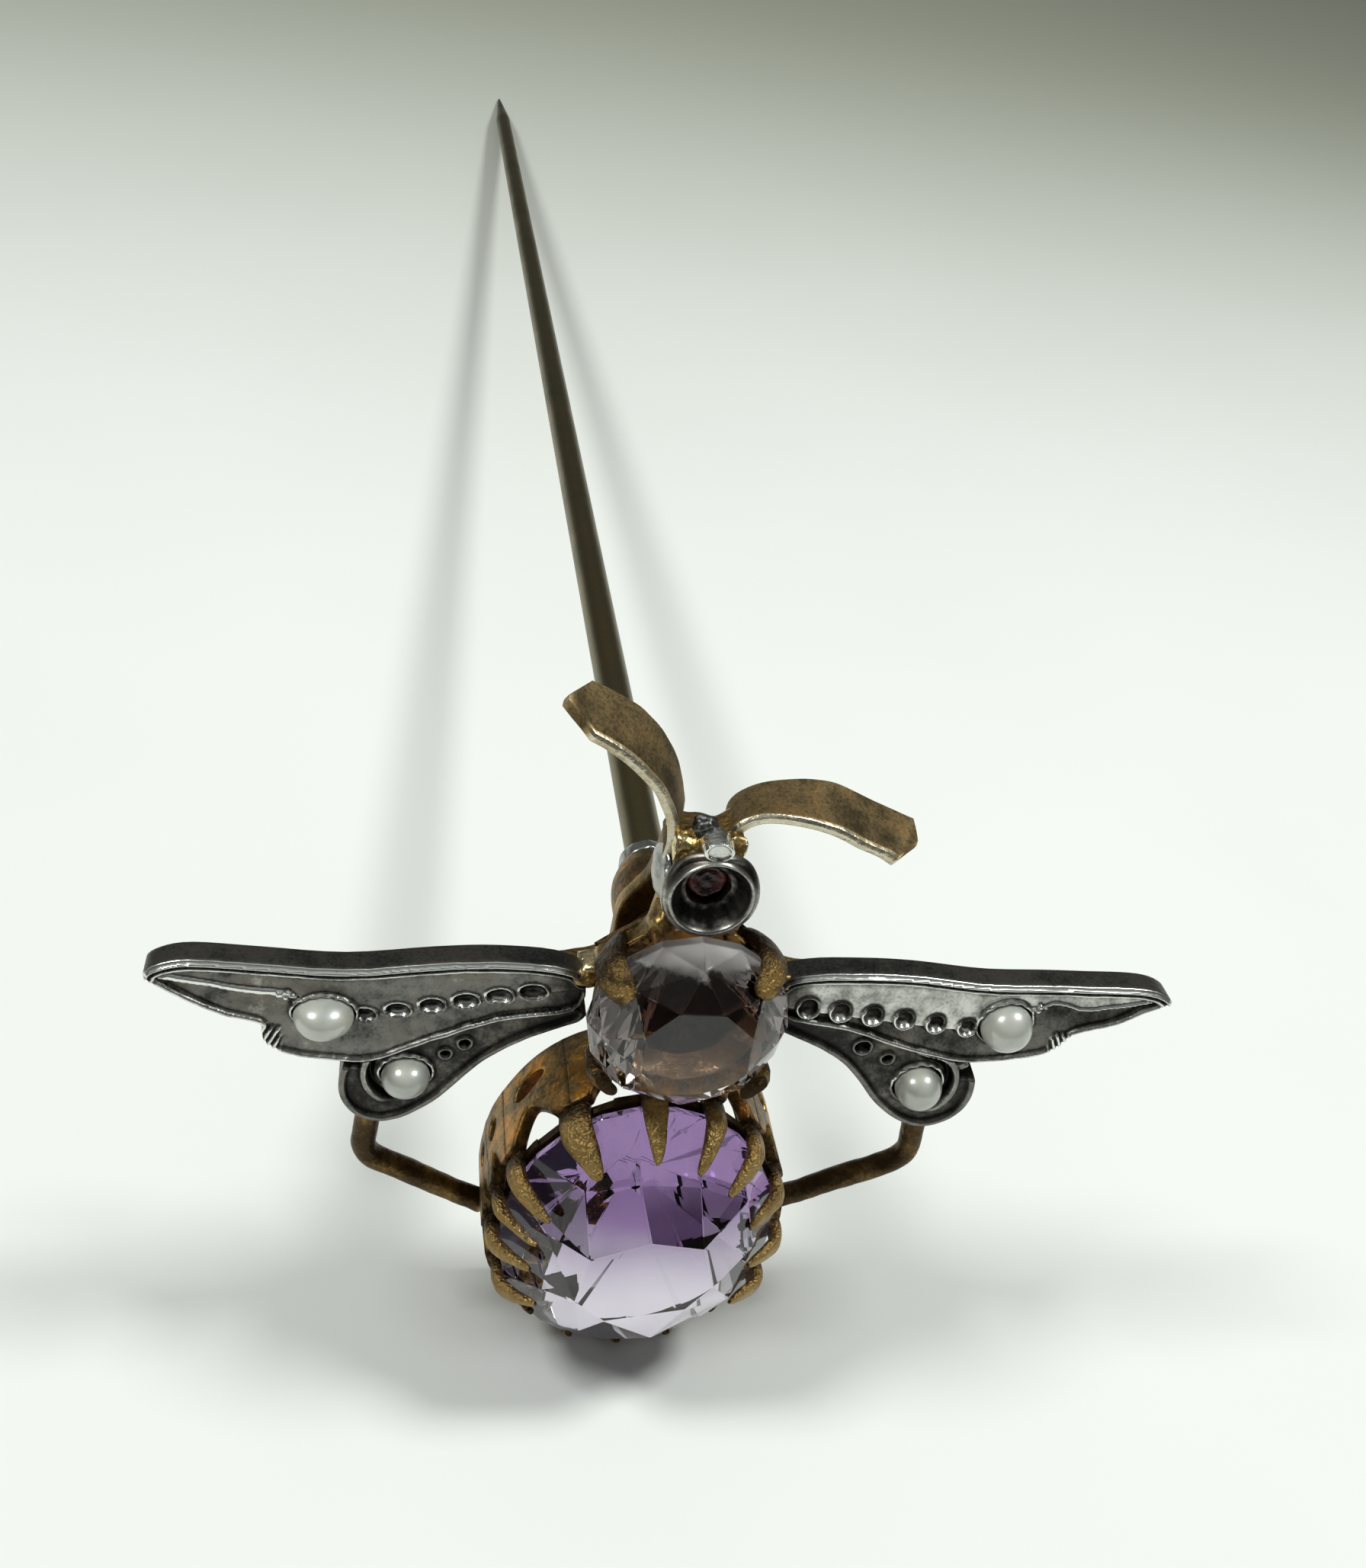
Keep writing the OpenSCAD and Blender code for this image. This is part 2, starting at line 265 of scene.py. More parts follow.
def loft(rings: Sequence, ends: bool = True) -> Shell:
    """Joins closed rings of equal length by quads.

    Args:
        rings: Rings of points, one after another.
        ends: Whether the first and last rings are closed by fans.

    Returns:
        Vertices and faces.
    """
    stack = np.array(rings, float)
    n, m = stack.shape[:2]
    verts = stack.reshape(-1, 3)
    faces = [(i * m + j, i * m + (j + 1) % m, (i + 1) * m + (j + 1) % m, (i + 1) * m + j)
             for i in range(n - 1) for j in range(m)]
    if ends:
        tips = np.array([stack[0].mean(0), stack[-1].mean(0)])
        first, last = n * m, n * m + 1
        verts = np.vstack([verts, tips])
        faces += [(first, (j + 1) % m, j) for j in range(m)]
        faces += [(last, (n - 1) * m + j, (n - 1) * m + (j + 1) % m) for j in range(m)]
    return verts, faces


def lathe(profile: Sequence, centre: tuple[float, float], segments: int = 96, hollow: bool = False) -> Shell:
    """Turns a profile about an axis along Y.

    Args:
        profile: (radius, y) points from one end to the other; a hollow one comes back to its start.
        centre: X and Z of the axis.
        segments: Steps round the axis.
        hollow: Whether the profile is closed on itself, as a ring's is.

    Returns:
        Vertices and faces.
    """
    turn = np.arange(segments) * 2 * math.pi / segments
    rings = [np.stack([centre[0] + r * np.cos(turn), np.full(segments, y), centre[1] + r * np.sin(turn)], 1)
             for r, y in profile]
    if not hollow:
        return loft(rings)
    verts, faces = loft(rings, ends=False)
    last = (len(rings) - 1) * segments
    faces += [(last + j, last + (j + 1) % segments, (j + 1) % segments, j) for j in range(segments)]
    return verts, faces


def rounded(profile: Sequence, radius: float, steps: int = 3, closed: bool = False) -> list:
    """Rounds the corners of a profile.

    Args:
        profile: The corners.
        radius: How far from a corner the rounding starts, at most 0.4 of a side.
        steps: Points added for each corner.
        closed: Whether the profile comes back to its start.

    Returns:
        The rounded profile's points.
    """
    p = [np.array(q, float) for q in profile]
    n = len(p)
    out = []
    for i in range(n):
        if not closed and i in (0, n - 1):
            out.append(p[i])
            continue
        before, after = p[i - 1] - p[i], p[(i + 1) % n] - p[i]
        la, lb = np.linalg.norm(before), np.linalg.norm(after)
        a = p[i] + before / la * min(radius, 0.4 * la)
        b = p[i] + after / lb * min(radius, 0.4 * lb)
        for t in np.linspace(0, 1, steps + 1):
            out.append((1 - t) ** 2 * a + 2 * t * (1 - t) * p[i] + t * t * b)
    return out


def joined(shells: Sequence[Shell]) -> Shell:
    """Puts several shells in one.

    Args:
        shells: The shells.

    Returns:
        Vertices and faces of all of them.
    """
    verts, faces, start = [], [], 0
    for v, f in shells:
        verts.append(v)
        faces += [tuple(k + start for k in face) for face in f]
        start += len(v)
    return np.vstack(verts), faces


def mirrored(shell: Shell, side: Side) -> Shell:
    """The shell itself on the right, and its mirror image on the left."""
    verts, faces = shell
    if side is Side.RIGHT:
        return shell
    return verts * np.array([-1, 1, 1]), [tuple(reversed(f)) for f in faces]


@dataclass
class Plate:
    """A flat metal plate in the X-Z plane with a worked front and rounded edges.

    Attributes:
        loops: The outline, and any holes after it.
        back: Y of the back.
        edge: Rounding of the edges.
        grid: Spacing of the points on the faces.
        rows: Rows of points on the edge's flat part.
        fine: Spacing where detail says so.
        detail: Tells which points lie in finely worked places.
        rails: Distances from the outline at which rows of points run along it.
    """

    loops: Sequence
    back: float
    edge: float = 0.06
    grid: float = 0.1
    rows: int = 4
    fine: float = 0.05
    detail: Callable | None = None
    rails: Sequence = ()

    def _field(self, bounds: Sequence[Array]) -> Array:
        """Spreads points over the face.

        Args:
            bounds: The face's border loops.

        Returns:
            The points inside them.
        """
        low, high = bounds[0].min(0), bounds[0].max(0)

        def lattice(step: float) -> Array:
            """A lattice of staggered rows with the given spacing."""
            rows = np.arange(low[1], high[1], step * 0.866)
            cols = np.arange(low[0], high[0], step)
            x, z = np.meshgrid(cols, rows)
            x = x + (np.arange(len(rows)) % 2)[:, None] * step / 2
            return np.stack([x.ravel(), z.ravel()], axis=1)

        def kept(points: Array, gap: float) -> Array:
            """The points that lie on the face, clear of its borders."""
            keep = inside(points, bounds[0])
            for hole in bounds[1:]:
                keep &= ~inside(points, hole)
            points = points[keep]
            for loop in bounds:
                points = points[distance_to(points, loop, True) > gap]
            return points

        coarse = kept(lattice(self.grid), self.fine * 0.7)
        if self.detail is None:
            return coarse
        dense = kept(lattice(self.fine), self.fine * 0.6)
        spread = np.vstack([coarse[~self.detail(coarse)], dense[self.detail(dense)]])
        rows = []
        for depth in self.rails:
            row = inset(bounds[0], depth - self.edge)
            row = row[inside(row, bounds[0])]
            row = row[distance_to(row, bounds[0], True) > 0.96 * (depth - self.edge)]
            spread = spread[distance_to(spread, row) > 0.35 * self.fine]
            rows.append(row)
        return np.vstack([spread, *rows])

    def build(self, front: Callable) -> tuple[Shell, Array]:
        """Makes the plate.

        Args:
            front: Gives the front's y and its brightness from wear and painted light for points of the plane.

        Returns:
            The shell, and how bright each vertex is, from wear and painted light.
        """
        step = self.fine if self.detail is not None else self.grid
        loops = [resample(counter_clockwise(np.array(q, float)), step) for q in self.loops]
        loops = [loops[0]] + [q[::-1] for q in loops[1:]]
        bounds = [inset(q, self.edge) for q in loops]
        field_points = self._field(bounds)
        border = np.vstack(bounds)
        flat = np.vstack([border, field_points])
        edges, start = [], 0
        for q in bounds:
            edges += [(start + k, start + (k + 1) % len(q)) for k in range(len(q))]
            start += len(q)
        result = delaunay_2d_cdt([Vector(p) for p in flat], edges, [], 0, 1e-7)
        spots = np.array([tuple(v) for v in result[0]])
        tris = np.array([tuple(f) for f in result[2]])
        middle = spots[tris].mean(1)
        keep = inside(middle, bounds[0])
        for hole in bounds[1:]:
            keep &= ~inside(middle, hole)
        tris = tris[keep]
        y_front, wear_and_painted_light = front(spots)
        count = len(spots)
        origin = {src: k for k, ids in enumerate(result[3]) for src in ids}
        verts = [np.stack([spots[:, 0], y_front, spots[:, 1]], 1),
                 np.stack([spots[:, 0], np.full(count, self.back), spots[:, 1]], 1)]
        polish_and_painted_light = [wear_and_painted_light, np.full(count, BACK_POLISH)]
        faces = [tuple(t) for t in tris[:, ::-1]] + [tuple(t + count) for t in tris]
        base, start = 2 * count, 0
        bend = np.radians([30, 60, 90])
        for loop, bound in zip(loops, bounds):
            m = len(loop)
            first = np.array([origin[start + k] for k in range(m)])
            way = (loop - bound) / self.edge
            near, far = y_front[first], np.full(m, self.back)
            steps = [(self.edge * math.sin(a), near + self.edge * (1 - math.cos(a))) for a in bend]
            top, bottom = near + self.edge, far - self.edge
            steps += [(self.edge, top + (bottom - top) * k / self.rows) for k in range(1, self.rows)]
            steps += [(self.edge * math.sin(a), far - self.edge * (1 - math.cos(a))) for a in bend[::-1]]
            above = first
            for row, (out, y) in enumerate(steps):
                spot = bound + way * out
                verts.append(np.stack([spot[:, 0], y, spot[:, 1]], 1))
                polish_and_painted_light.append(wear_and_painted_light[first] if row < 2 else np.full(m, EDGE_POLISH))
                here = base + np.arange(m)
                faces += [(above[k], here[k], here[(k + 1) % m], above[(k + 1) % m]) for k in range(m)]
                above, base = here, base + m
            under = first + count
            faces += [(above[k], under[k], under[(k + 1) % m], above[(k + 1) % m]) for k in range(m)]
            start += m
        return (np.vstack(verts), [tuple(int(k) for k in f) for f in faces]), np.concatenate(polish_and_painted_light)


# ---- pieces ----


def placed(name: str, data: bpy.types.ID) -> Thing:
    """A new object with the given data, linked to the scene."""
    thing = bpy.data.objects.new(name, data)
    bpy.context.scene.collection.objects.link(thing)
    return thing


def raw_object(name: str, shell: Shell, edges: Sequence = ()) -> Thing:
    """Makes a mesh object with its place in its mesh and its faces outwards.

    Args:
        name: The piece's name.
        shell: Vertices in millimetres, and faces.
        edges: Edges of a mesh without faces.

    Returns:
        The object, linked to the scene.
    """
    verts, faces = shell
    mesh = bpy.data.meshes.new(name)
    mesh.from_pydata((np.asarray(verts) * MM).tolist(), edges, faces)
    mesh.update()
    work = bmesh.new()
    work.from_mesh(mesh)
    bmesh.ops.recalc_face_normals(work, faces=work.faces)
    work.to_mesh(mesh)
    work.free()
    return placed(name, mesh)


def polyline(name: str, points: Sequence) -> Thing:
    """An object whose mesh is a line through points in millimetres."""
    return raw_object(name, (np.array(points, float), []), [(k, k + 1) for k in range(len(points) - 1)])


def read_rows(items: bpy.types.bpy_prop_collection, name: str, width: int, kind: type = float) -> Array:
    """Reads a property of all vertices or edges, in rows of the given width."""
    flat = np.empty(len(items) * width, kind)
    items.foreach_get(name, flat)
    return flat.reshape(-1, width)


def vertex_places(thing: Thing) -> Array:
    """Places of a piece's vertices in millimetres, in rows."""
    return read_rows(thing.data.vertices, "co", 3) / MM


def bulge(mesh: bpy.types.Mesh) -> Array:
    """Measures how far each vertex stands out of its neighbours.

    Args:
        mesh: The mesh.

    Returns:
        Positive values on edges and bumps, negative ones in hollows.
    """
    count = len(mesh.vertices)
    place, normal = (read_rows(mesh.vertices, name, 3) for name in ("co", "normal"))
    pairs = read_rows(mesh.edges, "vertices", 2, np.int64)
    a, b = np.concatenate([pairs[:, 0], pairs[:, 1]]), np.concatenate([pairs[:, 1], pairs[:, 0]])
    degree = np.maximum(np.bincount(a, minlength=count), 1)
    length = np.linalg.norm(place[a] - place[b], axis=1)
    reach = np.bincount(a, length, count) / degree
    mean = np.stack([np.bincount(a, place[b, k], count) for k in range(3)], 1) / degree[:, None]
    out = -np.einsum("ij,ij->i", mean - place, normal) / np.maximum(reach, 1e-9)
    for _ in range(2):
        out = 0.5 * out + 0.5 * np.bincount(a, out[b], count) / degree
    return out


def settle(
    thing: Thing,
    finish: bpy.types.Material,
    nodes: Sequence[str] = (),
    polish_and_painted_light: Array | float = 0.3,
    wear: float = 2.0,
    crease: float | None = None,
) -> Thing:
    """Dresses a piece and fixes it to the frame.

    Args:
        thing: The piece.
        finish: Its material.
        nodes: CAD nodes that it stands for.
        polish_and_painted_light: How bright the metal is, from wear and from painted highlights and shade,
            for each vertex or all of them.
        wear: How much edges are brightened and hollows darkened.
        crease: Angle in degrees above which edges are sharp; None shades all smooth, 0 shades all flat.

    Returns:
        The piece.
    """
    mesh = thing.data
    mesh.materials.clear()
    mesh.materials.append(finish)
    level = np.clip(polish_and_painted_light + wear * bulge(mesh), 0, 1)
    # The attribute carries real wear and painted highlights and shade into the metal's colour.
    mark = mesh.attributes.get("polish_and_painted_light") or mesh.attributes.new("polish_and_painted_light", "FLOAT", "POINT")
    mark.data.foreach_set("value", level.astype(np.float32))
    smooth = crease != 0
    mesh.polygons.foreach_set("use_smooth", [smooth] * len(mesh.polygons))
    if crease:
        mesh.set_sharp_from_angle(angle=math.radians(crease))
    mesh.update()
    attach(thing, "root")
    if nodes:
        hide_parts(*nodes)
    LOG.info("%s: %d faces, for %s", thing.name, len(mesh.polygons), ", ".join(nodes) or "itself")
    return thing


# ---- node trees ----


class Tree:
    """A few words for building a node tree."""

    def __init__(self, tree: bpy.types.NodeTree) -> None:
        """Takes the tree and empties it.

        Args:
            tree: The shader or geometry tree.
        """
        self.tree = tree
        tree.nodes.clear()

    def add(self, kind: str, inputs: dict | None = None, **settings: object) -> bpy.types.Node:
        """Adds a node.

        Args:
            kind: The node's type.
            inputs: Values or sockets for its inputs, by name or index.
            **settings: Properties of the node.

        Returns:
            The node.
        """
        node = self.tree.nodes.new(kind)
        for key, value in settings.items():
            setattr(node, key, value)
        for key, value in (inputs or {}).items():
            socket = node.inputs[key]
            if isinstance(value, Socket):
                self.tree.links.new(value, socket)
            else:
                socket.default_value = value
        return node

    def math(self, operation: str, *values: object) -> Socket:
        """Adds a Math node and returns its output."""
        return self.add("ShaderNodeMath", dict(enumerate(values)), operation=operation).outputs[0]

    def vector(self, operation: str, *values: object) -> Socket:
        """Adds a Vector Math node and returns its vector output."""
        return self.add("ShaderNodeVectorMath", dict(enumerate(values)), operation=operation).outputs[0]

    def scaled(self, value: object, factor: object) -> Socket:
        """A vector times a number."""
        node = self.add("ShaderNodeVectorMath", {0: value, "Scale": factor}, operation="SCALE")
        return node.outputs[0]

    def ramp(self, value: object, low: float, high: float, to_low: float = 0.0,
             to_high: float = 1.0) -> Socket:
        """Maps a range smoothly to another.

        Args:
            value: What is mapped.
            low: Start of the range.
            high: Its end.
            to_low: Result at the start.
            to_high: Result at the end.

        Returns:
            The mapped value.
        """
        node = self.add("ShaderNodeMapRange",
                        {"Value": value, "From Min": low, "From Max": high,
                         "To Min": to_low, "To Max": to_high},
                        interpolation_type="SMOOTHSTEP")
        return node.outputs[0]

    def blend(self, factor: object, a: object, b: object, mode: str = "MIX") -> Socket:
        """Mixes two colours.

        Args:
            factor: Share of the second.
            a: First colour.
            b: Second colour.
            mode: Kind of mixing.

        Returns:
            The mixed colour.
        """
        paint = [(*c, 1.0) if isinstance(c, tuple) and len(c) == 3 else c for c in (a, b)]
        node = self.add("ShaderNodeMix", {0: factor, 6: paint[0], 7: paint[1]},
                        data_type="RGBA", blend_type=mode)
        return node.outputs[2]

    def noise(self, place: object, scale: float, detail: float = 4.0, rough: float = 0.55,
              warp: float = 0.0) -> Socket:
        """Adds a noise texture.

        Args:
            place: Coordinates.
            scale: Waves for each unit of them.
            detail: Octaves.
            rough: Strength of the small ones.
            warp: Distortion.

        Returns:
            The noise value.
        """
        node = self.add("ShaderNodeTexNoise", {"Vector": place, "Scale": scale, "Detail": detail,
                                               "Roughness": rough, "Distortion": warp})
        return node.outputs[0]

    def bump(self, height: object, distance: float, strength: float) -> Socket:
        """Adds a Bump node and returns its normal."""
        return self.add("ShaderNodeBump", {"Height": height, "Distance": distance,
                                           "Strength": strength}).outputs["Normal"]


def group(name: str, inputs: dict, outputs: dict) -> tuple[Tree, dict]:
    """Starts a shader node group.

    Args:
        name: The group's name.
        inputs: Default values by socket name; a colour, vector or number.
        outputs: Socket types by name.

    Returns:
        The tree, and its inputs' sockets by name.
    """
    tree = bpy.data.node_groups.new(name, "ShaderNodeTree")
    for label, default in inputs.items():
        kind = "NodeSocketFloat"
        if isinstance(default, tuple):
            kind = "NodeSocketColor" if len(default) == 4 else "NodeSocketVector"
        socket = tree.interface.new_socket(name=label, in_out="INPUT", socket_type=kind)
        socket.default_value = default
    for label, kind in outputs.items():
        tree.interface.new_socket(name=label, in_out="OUTPUT", socket_type=kind)
    work = Tree(tree)
    return work, work.add("NodeGroupInput").outputs


class SharedEffects:
    """Shader node groups that several finishes use."""

    def __init__(self) -> None:
        """Builds the groups once."""
        self.wear = self._wear()
        self.grain = self._grain()
        self.zones = self._zones()

    @staticmethod
    def _wear() -> bpy.types.NodeTree:
        """Where metal is bright from wear and from painted light, stained or speckled with dirt."""
        t, given = group(
            "metal_wear",
            {"Place": (0.0, 0.0, 0.0), "Polish_and_painted_light": 0.3, "Patches": 900.0, "Specks": 9000.0, "Speckle": 0.4},
            {"Bright": "NodeSocketFloat", "Stain": "NodeSocketFloat", "Speck": "NodeSocketFloat"},
        )
        patch = t.noise(given["Place"], given["Patches"], 5.0, 0.6)
        fine = t.noise(given["Place"], given["Specks"], 3.0, 0.7)
        uneven = t.math("MULTIPLY_ADD", t.math("SUBTRACT", patch, 0.5), 0.55, given["Polish_and_painted_light"])
        bright = t.math("MULTIPLY_ADD", t.math("SUBTRACT", fine, 0.5), 0.35, uneven)
        speck = t.math("MULTIPLY", t.ramp(fine, 0.56, 0.7), given["Speckle"])
        t.add("NodeGroupOutput", {"Bright": t.ramp(bright, 0.02, 0.98), "Stain": t.ramp(patch, 0.42, 0.68),
                                  "Speck": speck})
        return t.tree

    @staticmethod
    def _grain() -> bpy.types.NodeTree:
        """Height of hammered and scratched metal."""
        t, given = group(
            "metal_grain",
            {"Place": (0.0, 0.0, 0.0), "Hammer": 2500.0, "Scratch": 12000.0, "Stretch": (1.0, 1.0, 1.0)},
            {"Height": "NodeSocketFloat"},
        )
        dents = t.noise(given["Place"], given["Hammer"], 2.0, 0.5)
        lines = t.noise(t.vector("MULTIPLY", given["Place"], given["Stretch"]), given["Scratch"], 4.0, 0.65)
        t.add("NodeGroupOutput", {"Height": t.math("MULTIPLY_ADD", lines, 0.25, dents)})
        return t.tree

    @staticmethod
    def _zones() -> bpy.types.NodeTree:
        """A colour that changes across a stone from one side to the other, with cloudy edges; on the amethyst
        it paints light, pale below and deep purple above.
        """
        t, given = group(
            "stone_zones",
            {"Place": (0.0, 0.0, 0.0), "Way": (0.0, 0.0, 1.0), "Start": 0.0, "Width": 1.0,
             "Pale": (1.0, 1.0, 1.0, 1.0), "Deep": (0.5, 0.5, 0.5, 1.0)},
            {"Colour": "NodeSocketColor"},
        )
        cloud = t.math("SUBTRACT", t.noise(given["Place"], 260.0, 2.0, 0.5), 0.5)
        along = t.add("ShaderNodeVectorMath", {0: given["Place"], 1: given["Way"]},
                      operation="DOT_PRODUCT").outputs["Value"]
        level = t.math("DIVIDE", t.math("SUBTRACT", along, given["Start"]), given["Width"])
        share = t.ramp(t.math("MULTIPLY_ADD", cloud, 0.6, level), 0.0, 1.0)
        t.add("NodeGroupOutput", {"Colour": t.blend(share, given["Pale"], given["Deep"])})
        return t.tree


@dataclass(frozen=True)
class Finish(ABC):
    """A material that each kind of finish paints in its own way.

    Attributes:
        name: The material's name.
    """

    name: str

    @abstractmethod
    def paint(self, t: Tree, place: Socket, shared: SharedEffects | None) -> dict:
        """Adds the nodes of the finish.

        Args:
            t: The material's tree.
            place: Object coordinates.
            shared: The shared node groups.

        Returns:
            Values and sockets for the inputs of the Principled shader.
        """

    def material(self, shared: SharedEffects | None = None) -> bpy.types.Material:
        """Builds the material.

        Args:
            shared: The shared node groups, for a finish that uses them.

        Returns:
            The material.
        """
        made = bpy.data.materials.new(self.name)
        made.use_nodes = True
        t = Tree(made.node_tree)
        place = t.add("ShaderNodeTexCoord").outputs["Object"]
        shader = t.add("ShaderNodeBsdfPrincipled", self.paint(t, place, shared))
        t.add("ShaderNodeOutputMaterial", {"Surface": shader.outputs[0]})
        return made


@dataclass(frozen=True)
class MetalFinish(Finish):
    """An aged metal: dark in the hollows, coloured on the faces and bright on the edges, with painted
    highlights and shade where a piece's brightness carries them.

    Attributes:
        dark: Colour of hollows and dirt, and of painted shade.
        body: Colour of the plain faces.
        bright: Colour of rubbed edges, and of painted highlights.
        stain: Colour of the patches.
        stain_share: Strength of the patches.
        speckle: Strength of the dark specks.
        rough: Roughness of dark and of rubbed metal.
        hammer: Dents for each metre.
        relief: Height of dents and scratches in metres.
        stretch: Scale of scratches along each axis.
        patches: Patches for each metre.
    """

    dark: Colour
    body: Colour
    bright: Colour
    stain: Colour
    stain_share: float = 0.5
    speckle: float = 0.4
    rough: tuple[float, float] = (0.45, 0.2)
    hammer: float = 2500.0
    relief: float = 0.00002
    stretch: Colour = (1.0, 1.0, 1.0)
    patches: float = 900.0

    def paint(self, t: Tree, place: Socket, shared: SharedEffects | None) -> dict:
        """Adds the nodes of the finish and returns the shader's inputs."""
        polish_and_painted_light = t.add("ShaderNodeAttribute", attribute_name="polish_and_painted_light").outputs["Fac"]
        wear = t.add("ShaderNodeGroup", {"Place": place, "Polish_and_painted_light": polish_and_painted_light, "Speckle": self.speckle,
                                         "Patches": self.patches}, node_tree=shared.wear)
        low = t.ramp(wear.outputs["Bright"], 0.0, 0.45)
        high = t.ramp(wear.outputs["Bright"], 0.45, 1.0)
        stained = t.blend(t.math("MULTIPLY", wear.outputs["Stain"], self.stain_share), self.body, self.stain)
        colour = t.blend(high, t.blend(low, self.dark, stained), self.bright)
        colour = t.blend(wear.outputs["Speck"], colour, self.dark)
        rough = t.ramp(wear.outputs["Bright"], 0.1, 0.9, *self.rough)
        grain = t.add("ShaderNodeGroup", {"Place": place, "Hammer": self.hammer, "Stretch": self.stretch},
                      node_tree=shared.grain)
        return {"Base Color": colour, "Metallic": 1.0, "Roughness": rough,
                "Normal": t.bump(grain.outputs["Height"], self.relief, 1.0)}


@dataclass(frozen=True)
class StoneFinish(Finish):
    """A clear faceted stone with a colour gradient, painted light on the amethyst, and facets painted dark as
    shade.

    Attributes:
        pale: Colour at the gradient's start; on the amethyst, painted pale light from the table below.
        deep: Colour at the gradient's end; on the amethyst, its painted deep purple above.
        way: Direction from pale to deep.
        start: Where the change starts along it, in metres.
        width: Length of the change in metres.
        ior: Index of refraction.
        frost: Z above which the stone is dulled by old dirt, in metres.
        dust: Colour of that dirt.
        shade: Colour of the painted shade on the chosen dark facets.
        shade_span: Heights between which that painted shade fades in, in metres.
    """

    pale: Colour
    deep: Colour
    way: Colour
    start: float
    width: float
    ior: float = 1.545
    frost: float = 1.0
    dust: Colour = (0.62, 0.56, 0.55)
    shade: Colour = (0.02, 0.012, 0.025)
    shade_falloff_span: tuple[float, float] = (-1.0, -0.9)

    def paint(self, t: Tree, place: Socket, shared: SharedEffects | None) -> dict:
        """Adds the nodes of the finish and returns the shader's inputs."""
        zones = t.add("ShaderNodeGroup",
                      {"Place": place, "Way": self.way, "Start": self.start, "Width": self.width,
                       "Pale": (*self.pale, 1.0), "Deep": (*self.deep, 1.0)}, node_tree=shared.zones)
        height = t.add("ShaderNodeSeparateXYZ", {0: place}).outputs["Z"]
        cloud = t.noise(place, 1500.0, 4.0, 0.6)
        edge = t.math("MULTIPLY_ADD", cloud, 0.0012, height)
        dirty = t.ramp(edge, self.frost + 0.0004, self.frost + 0.0009)
        smear = t.math("MAXIMUM", t.ramp(cloud, 0.5, 0.8, 0.0, 0.05), t.math("MULTIPLY", dirty, 0.5))
        facet = t.add("ShaderNodeAttribute", attribute_name="facet").outputs["Fac"]
        # Painted shade: the chosen facets turn towards the shade colour, fading in between the heights of
        # shade_span.
        dark = t.math("MULTIPLY", t.math("SUBTRACT", 1.0, facet), t.ramp(height, *self.shade_falloff_span))
        colour = t.blend(dirty, t.blend(dark, zones.outputs["Colour"], self.shade), self.dust)
        return {"Base Color": colour, "Roughness": smear, "IOR": self.ior, "Metallic": 0.0,
                "Transmission Weight": 1.0}


@dataclass(frozen=True)
class NacreFinish(Finish):
    """The soft lustre of a half pearl.

    Attributes:
        body: Main colour.
        cool: Colour of the cooler clouds.
    """

    body: Colour
    cool: Colour

    def paint(self, t: Tree, place: Socket, shared: SharedEffects | None) -> dict:
        """Adds the nodes of the finish and returns the shader's inputs."""
        cloud = t.ramp(t.noise(place, 900.0, 3.0, 0.55), 0.35, 0.7)
        colour = t.blend(cloud, self.body, self.cool)
        wave = t.noise(place, 2200.0, 2.0, 0.5)
        return {"Base Color": colour, "Roughness": t.ramp(cloud, 0.0, 1.0, 0.28, 0.36),
                "Subsurface Weight": 0.2, "Subsurface Scale": 0.0004,
                "Subsurface Radius": (1.0, 0.8, 0.6), "Coat Weight": 0.8, "Coat Roughness": 0.12,
                "IOR": 1.75, "Specular IOR Level": 1.0,
                "Normal": t.bump(wave, 0.00001, 0.6)}


@dataclass(frozen=True)
class CementFinish(Finish):
    """Old dark shellac at the bottom of the empty cup.

    Attributes:
        dark: Colour of most of it.
        red: Colour of the thin places.
    """

    dark: Colour
    red: Colour

    def paint(self, t: Tree, place: Socket, shared: SharedEffects | None) -> dict:
        """Adds the nodes of the finish and returns the shader's inputs."""
        patch = t.noise(place, 2600.0, 4.0, 0.6)
        colour = t.blend(t.ramp(patch, 0.42, 0.66), self.dark, self.red)
        return {"Base Color": colour, "Roughness": t.ramp(patch, 0.3, 0.7, 0.15, 0.4),
                "Normal": t.bump(patch, 0.00008, 0.8)}


@dataclass(frozen=True)
class TableFinish(Finish):
    """The pale surface that the pin lies on, with painted shade that darkens it towards the back, as the
    lamps' light falls off.

    Attributes:
        colour: Its colour round the ornament.
        far: Its painted colour far behind it, where the lamps' light has fallen off.
        falloff_span: Y where that painted falloff starts and where it is full, in metres.
    """

    colour: Colour
    far: Colour
    falloff_span: tuple[float, float] = (0.03, 0.23)

    def paint(self, t: Tree, place: Socket, shared: SharedEffects | None) -> dict:
        """Adds the nodes of the finish and returns the shader's inputs."""
        cloud = t.noise(place, 25.0, 3.0, 0.5)
        darker = tuple(c * 0.97 for c in self.colour)
        # Painted shade: the colour falls off towards the back.
        behind = t.ramp(t.add("ShaderNodeSeparateXYZ", {0: place}).outputs["Y"], *self.falloff_span)
        colour = t.blend(behind, t.blend(t.ramp(cloud, 0.3, 0.7), self.colour, darker), self.far)
        return {"Base Color": colour, "Roughness": 0.75, "Specular IOR Level": 0.25}


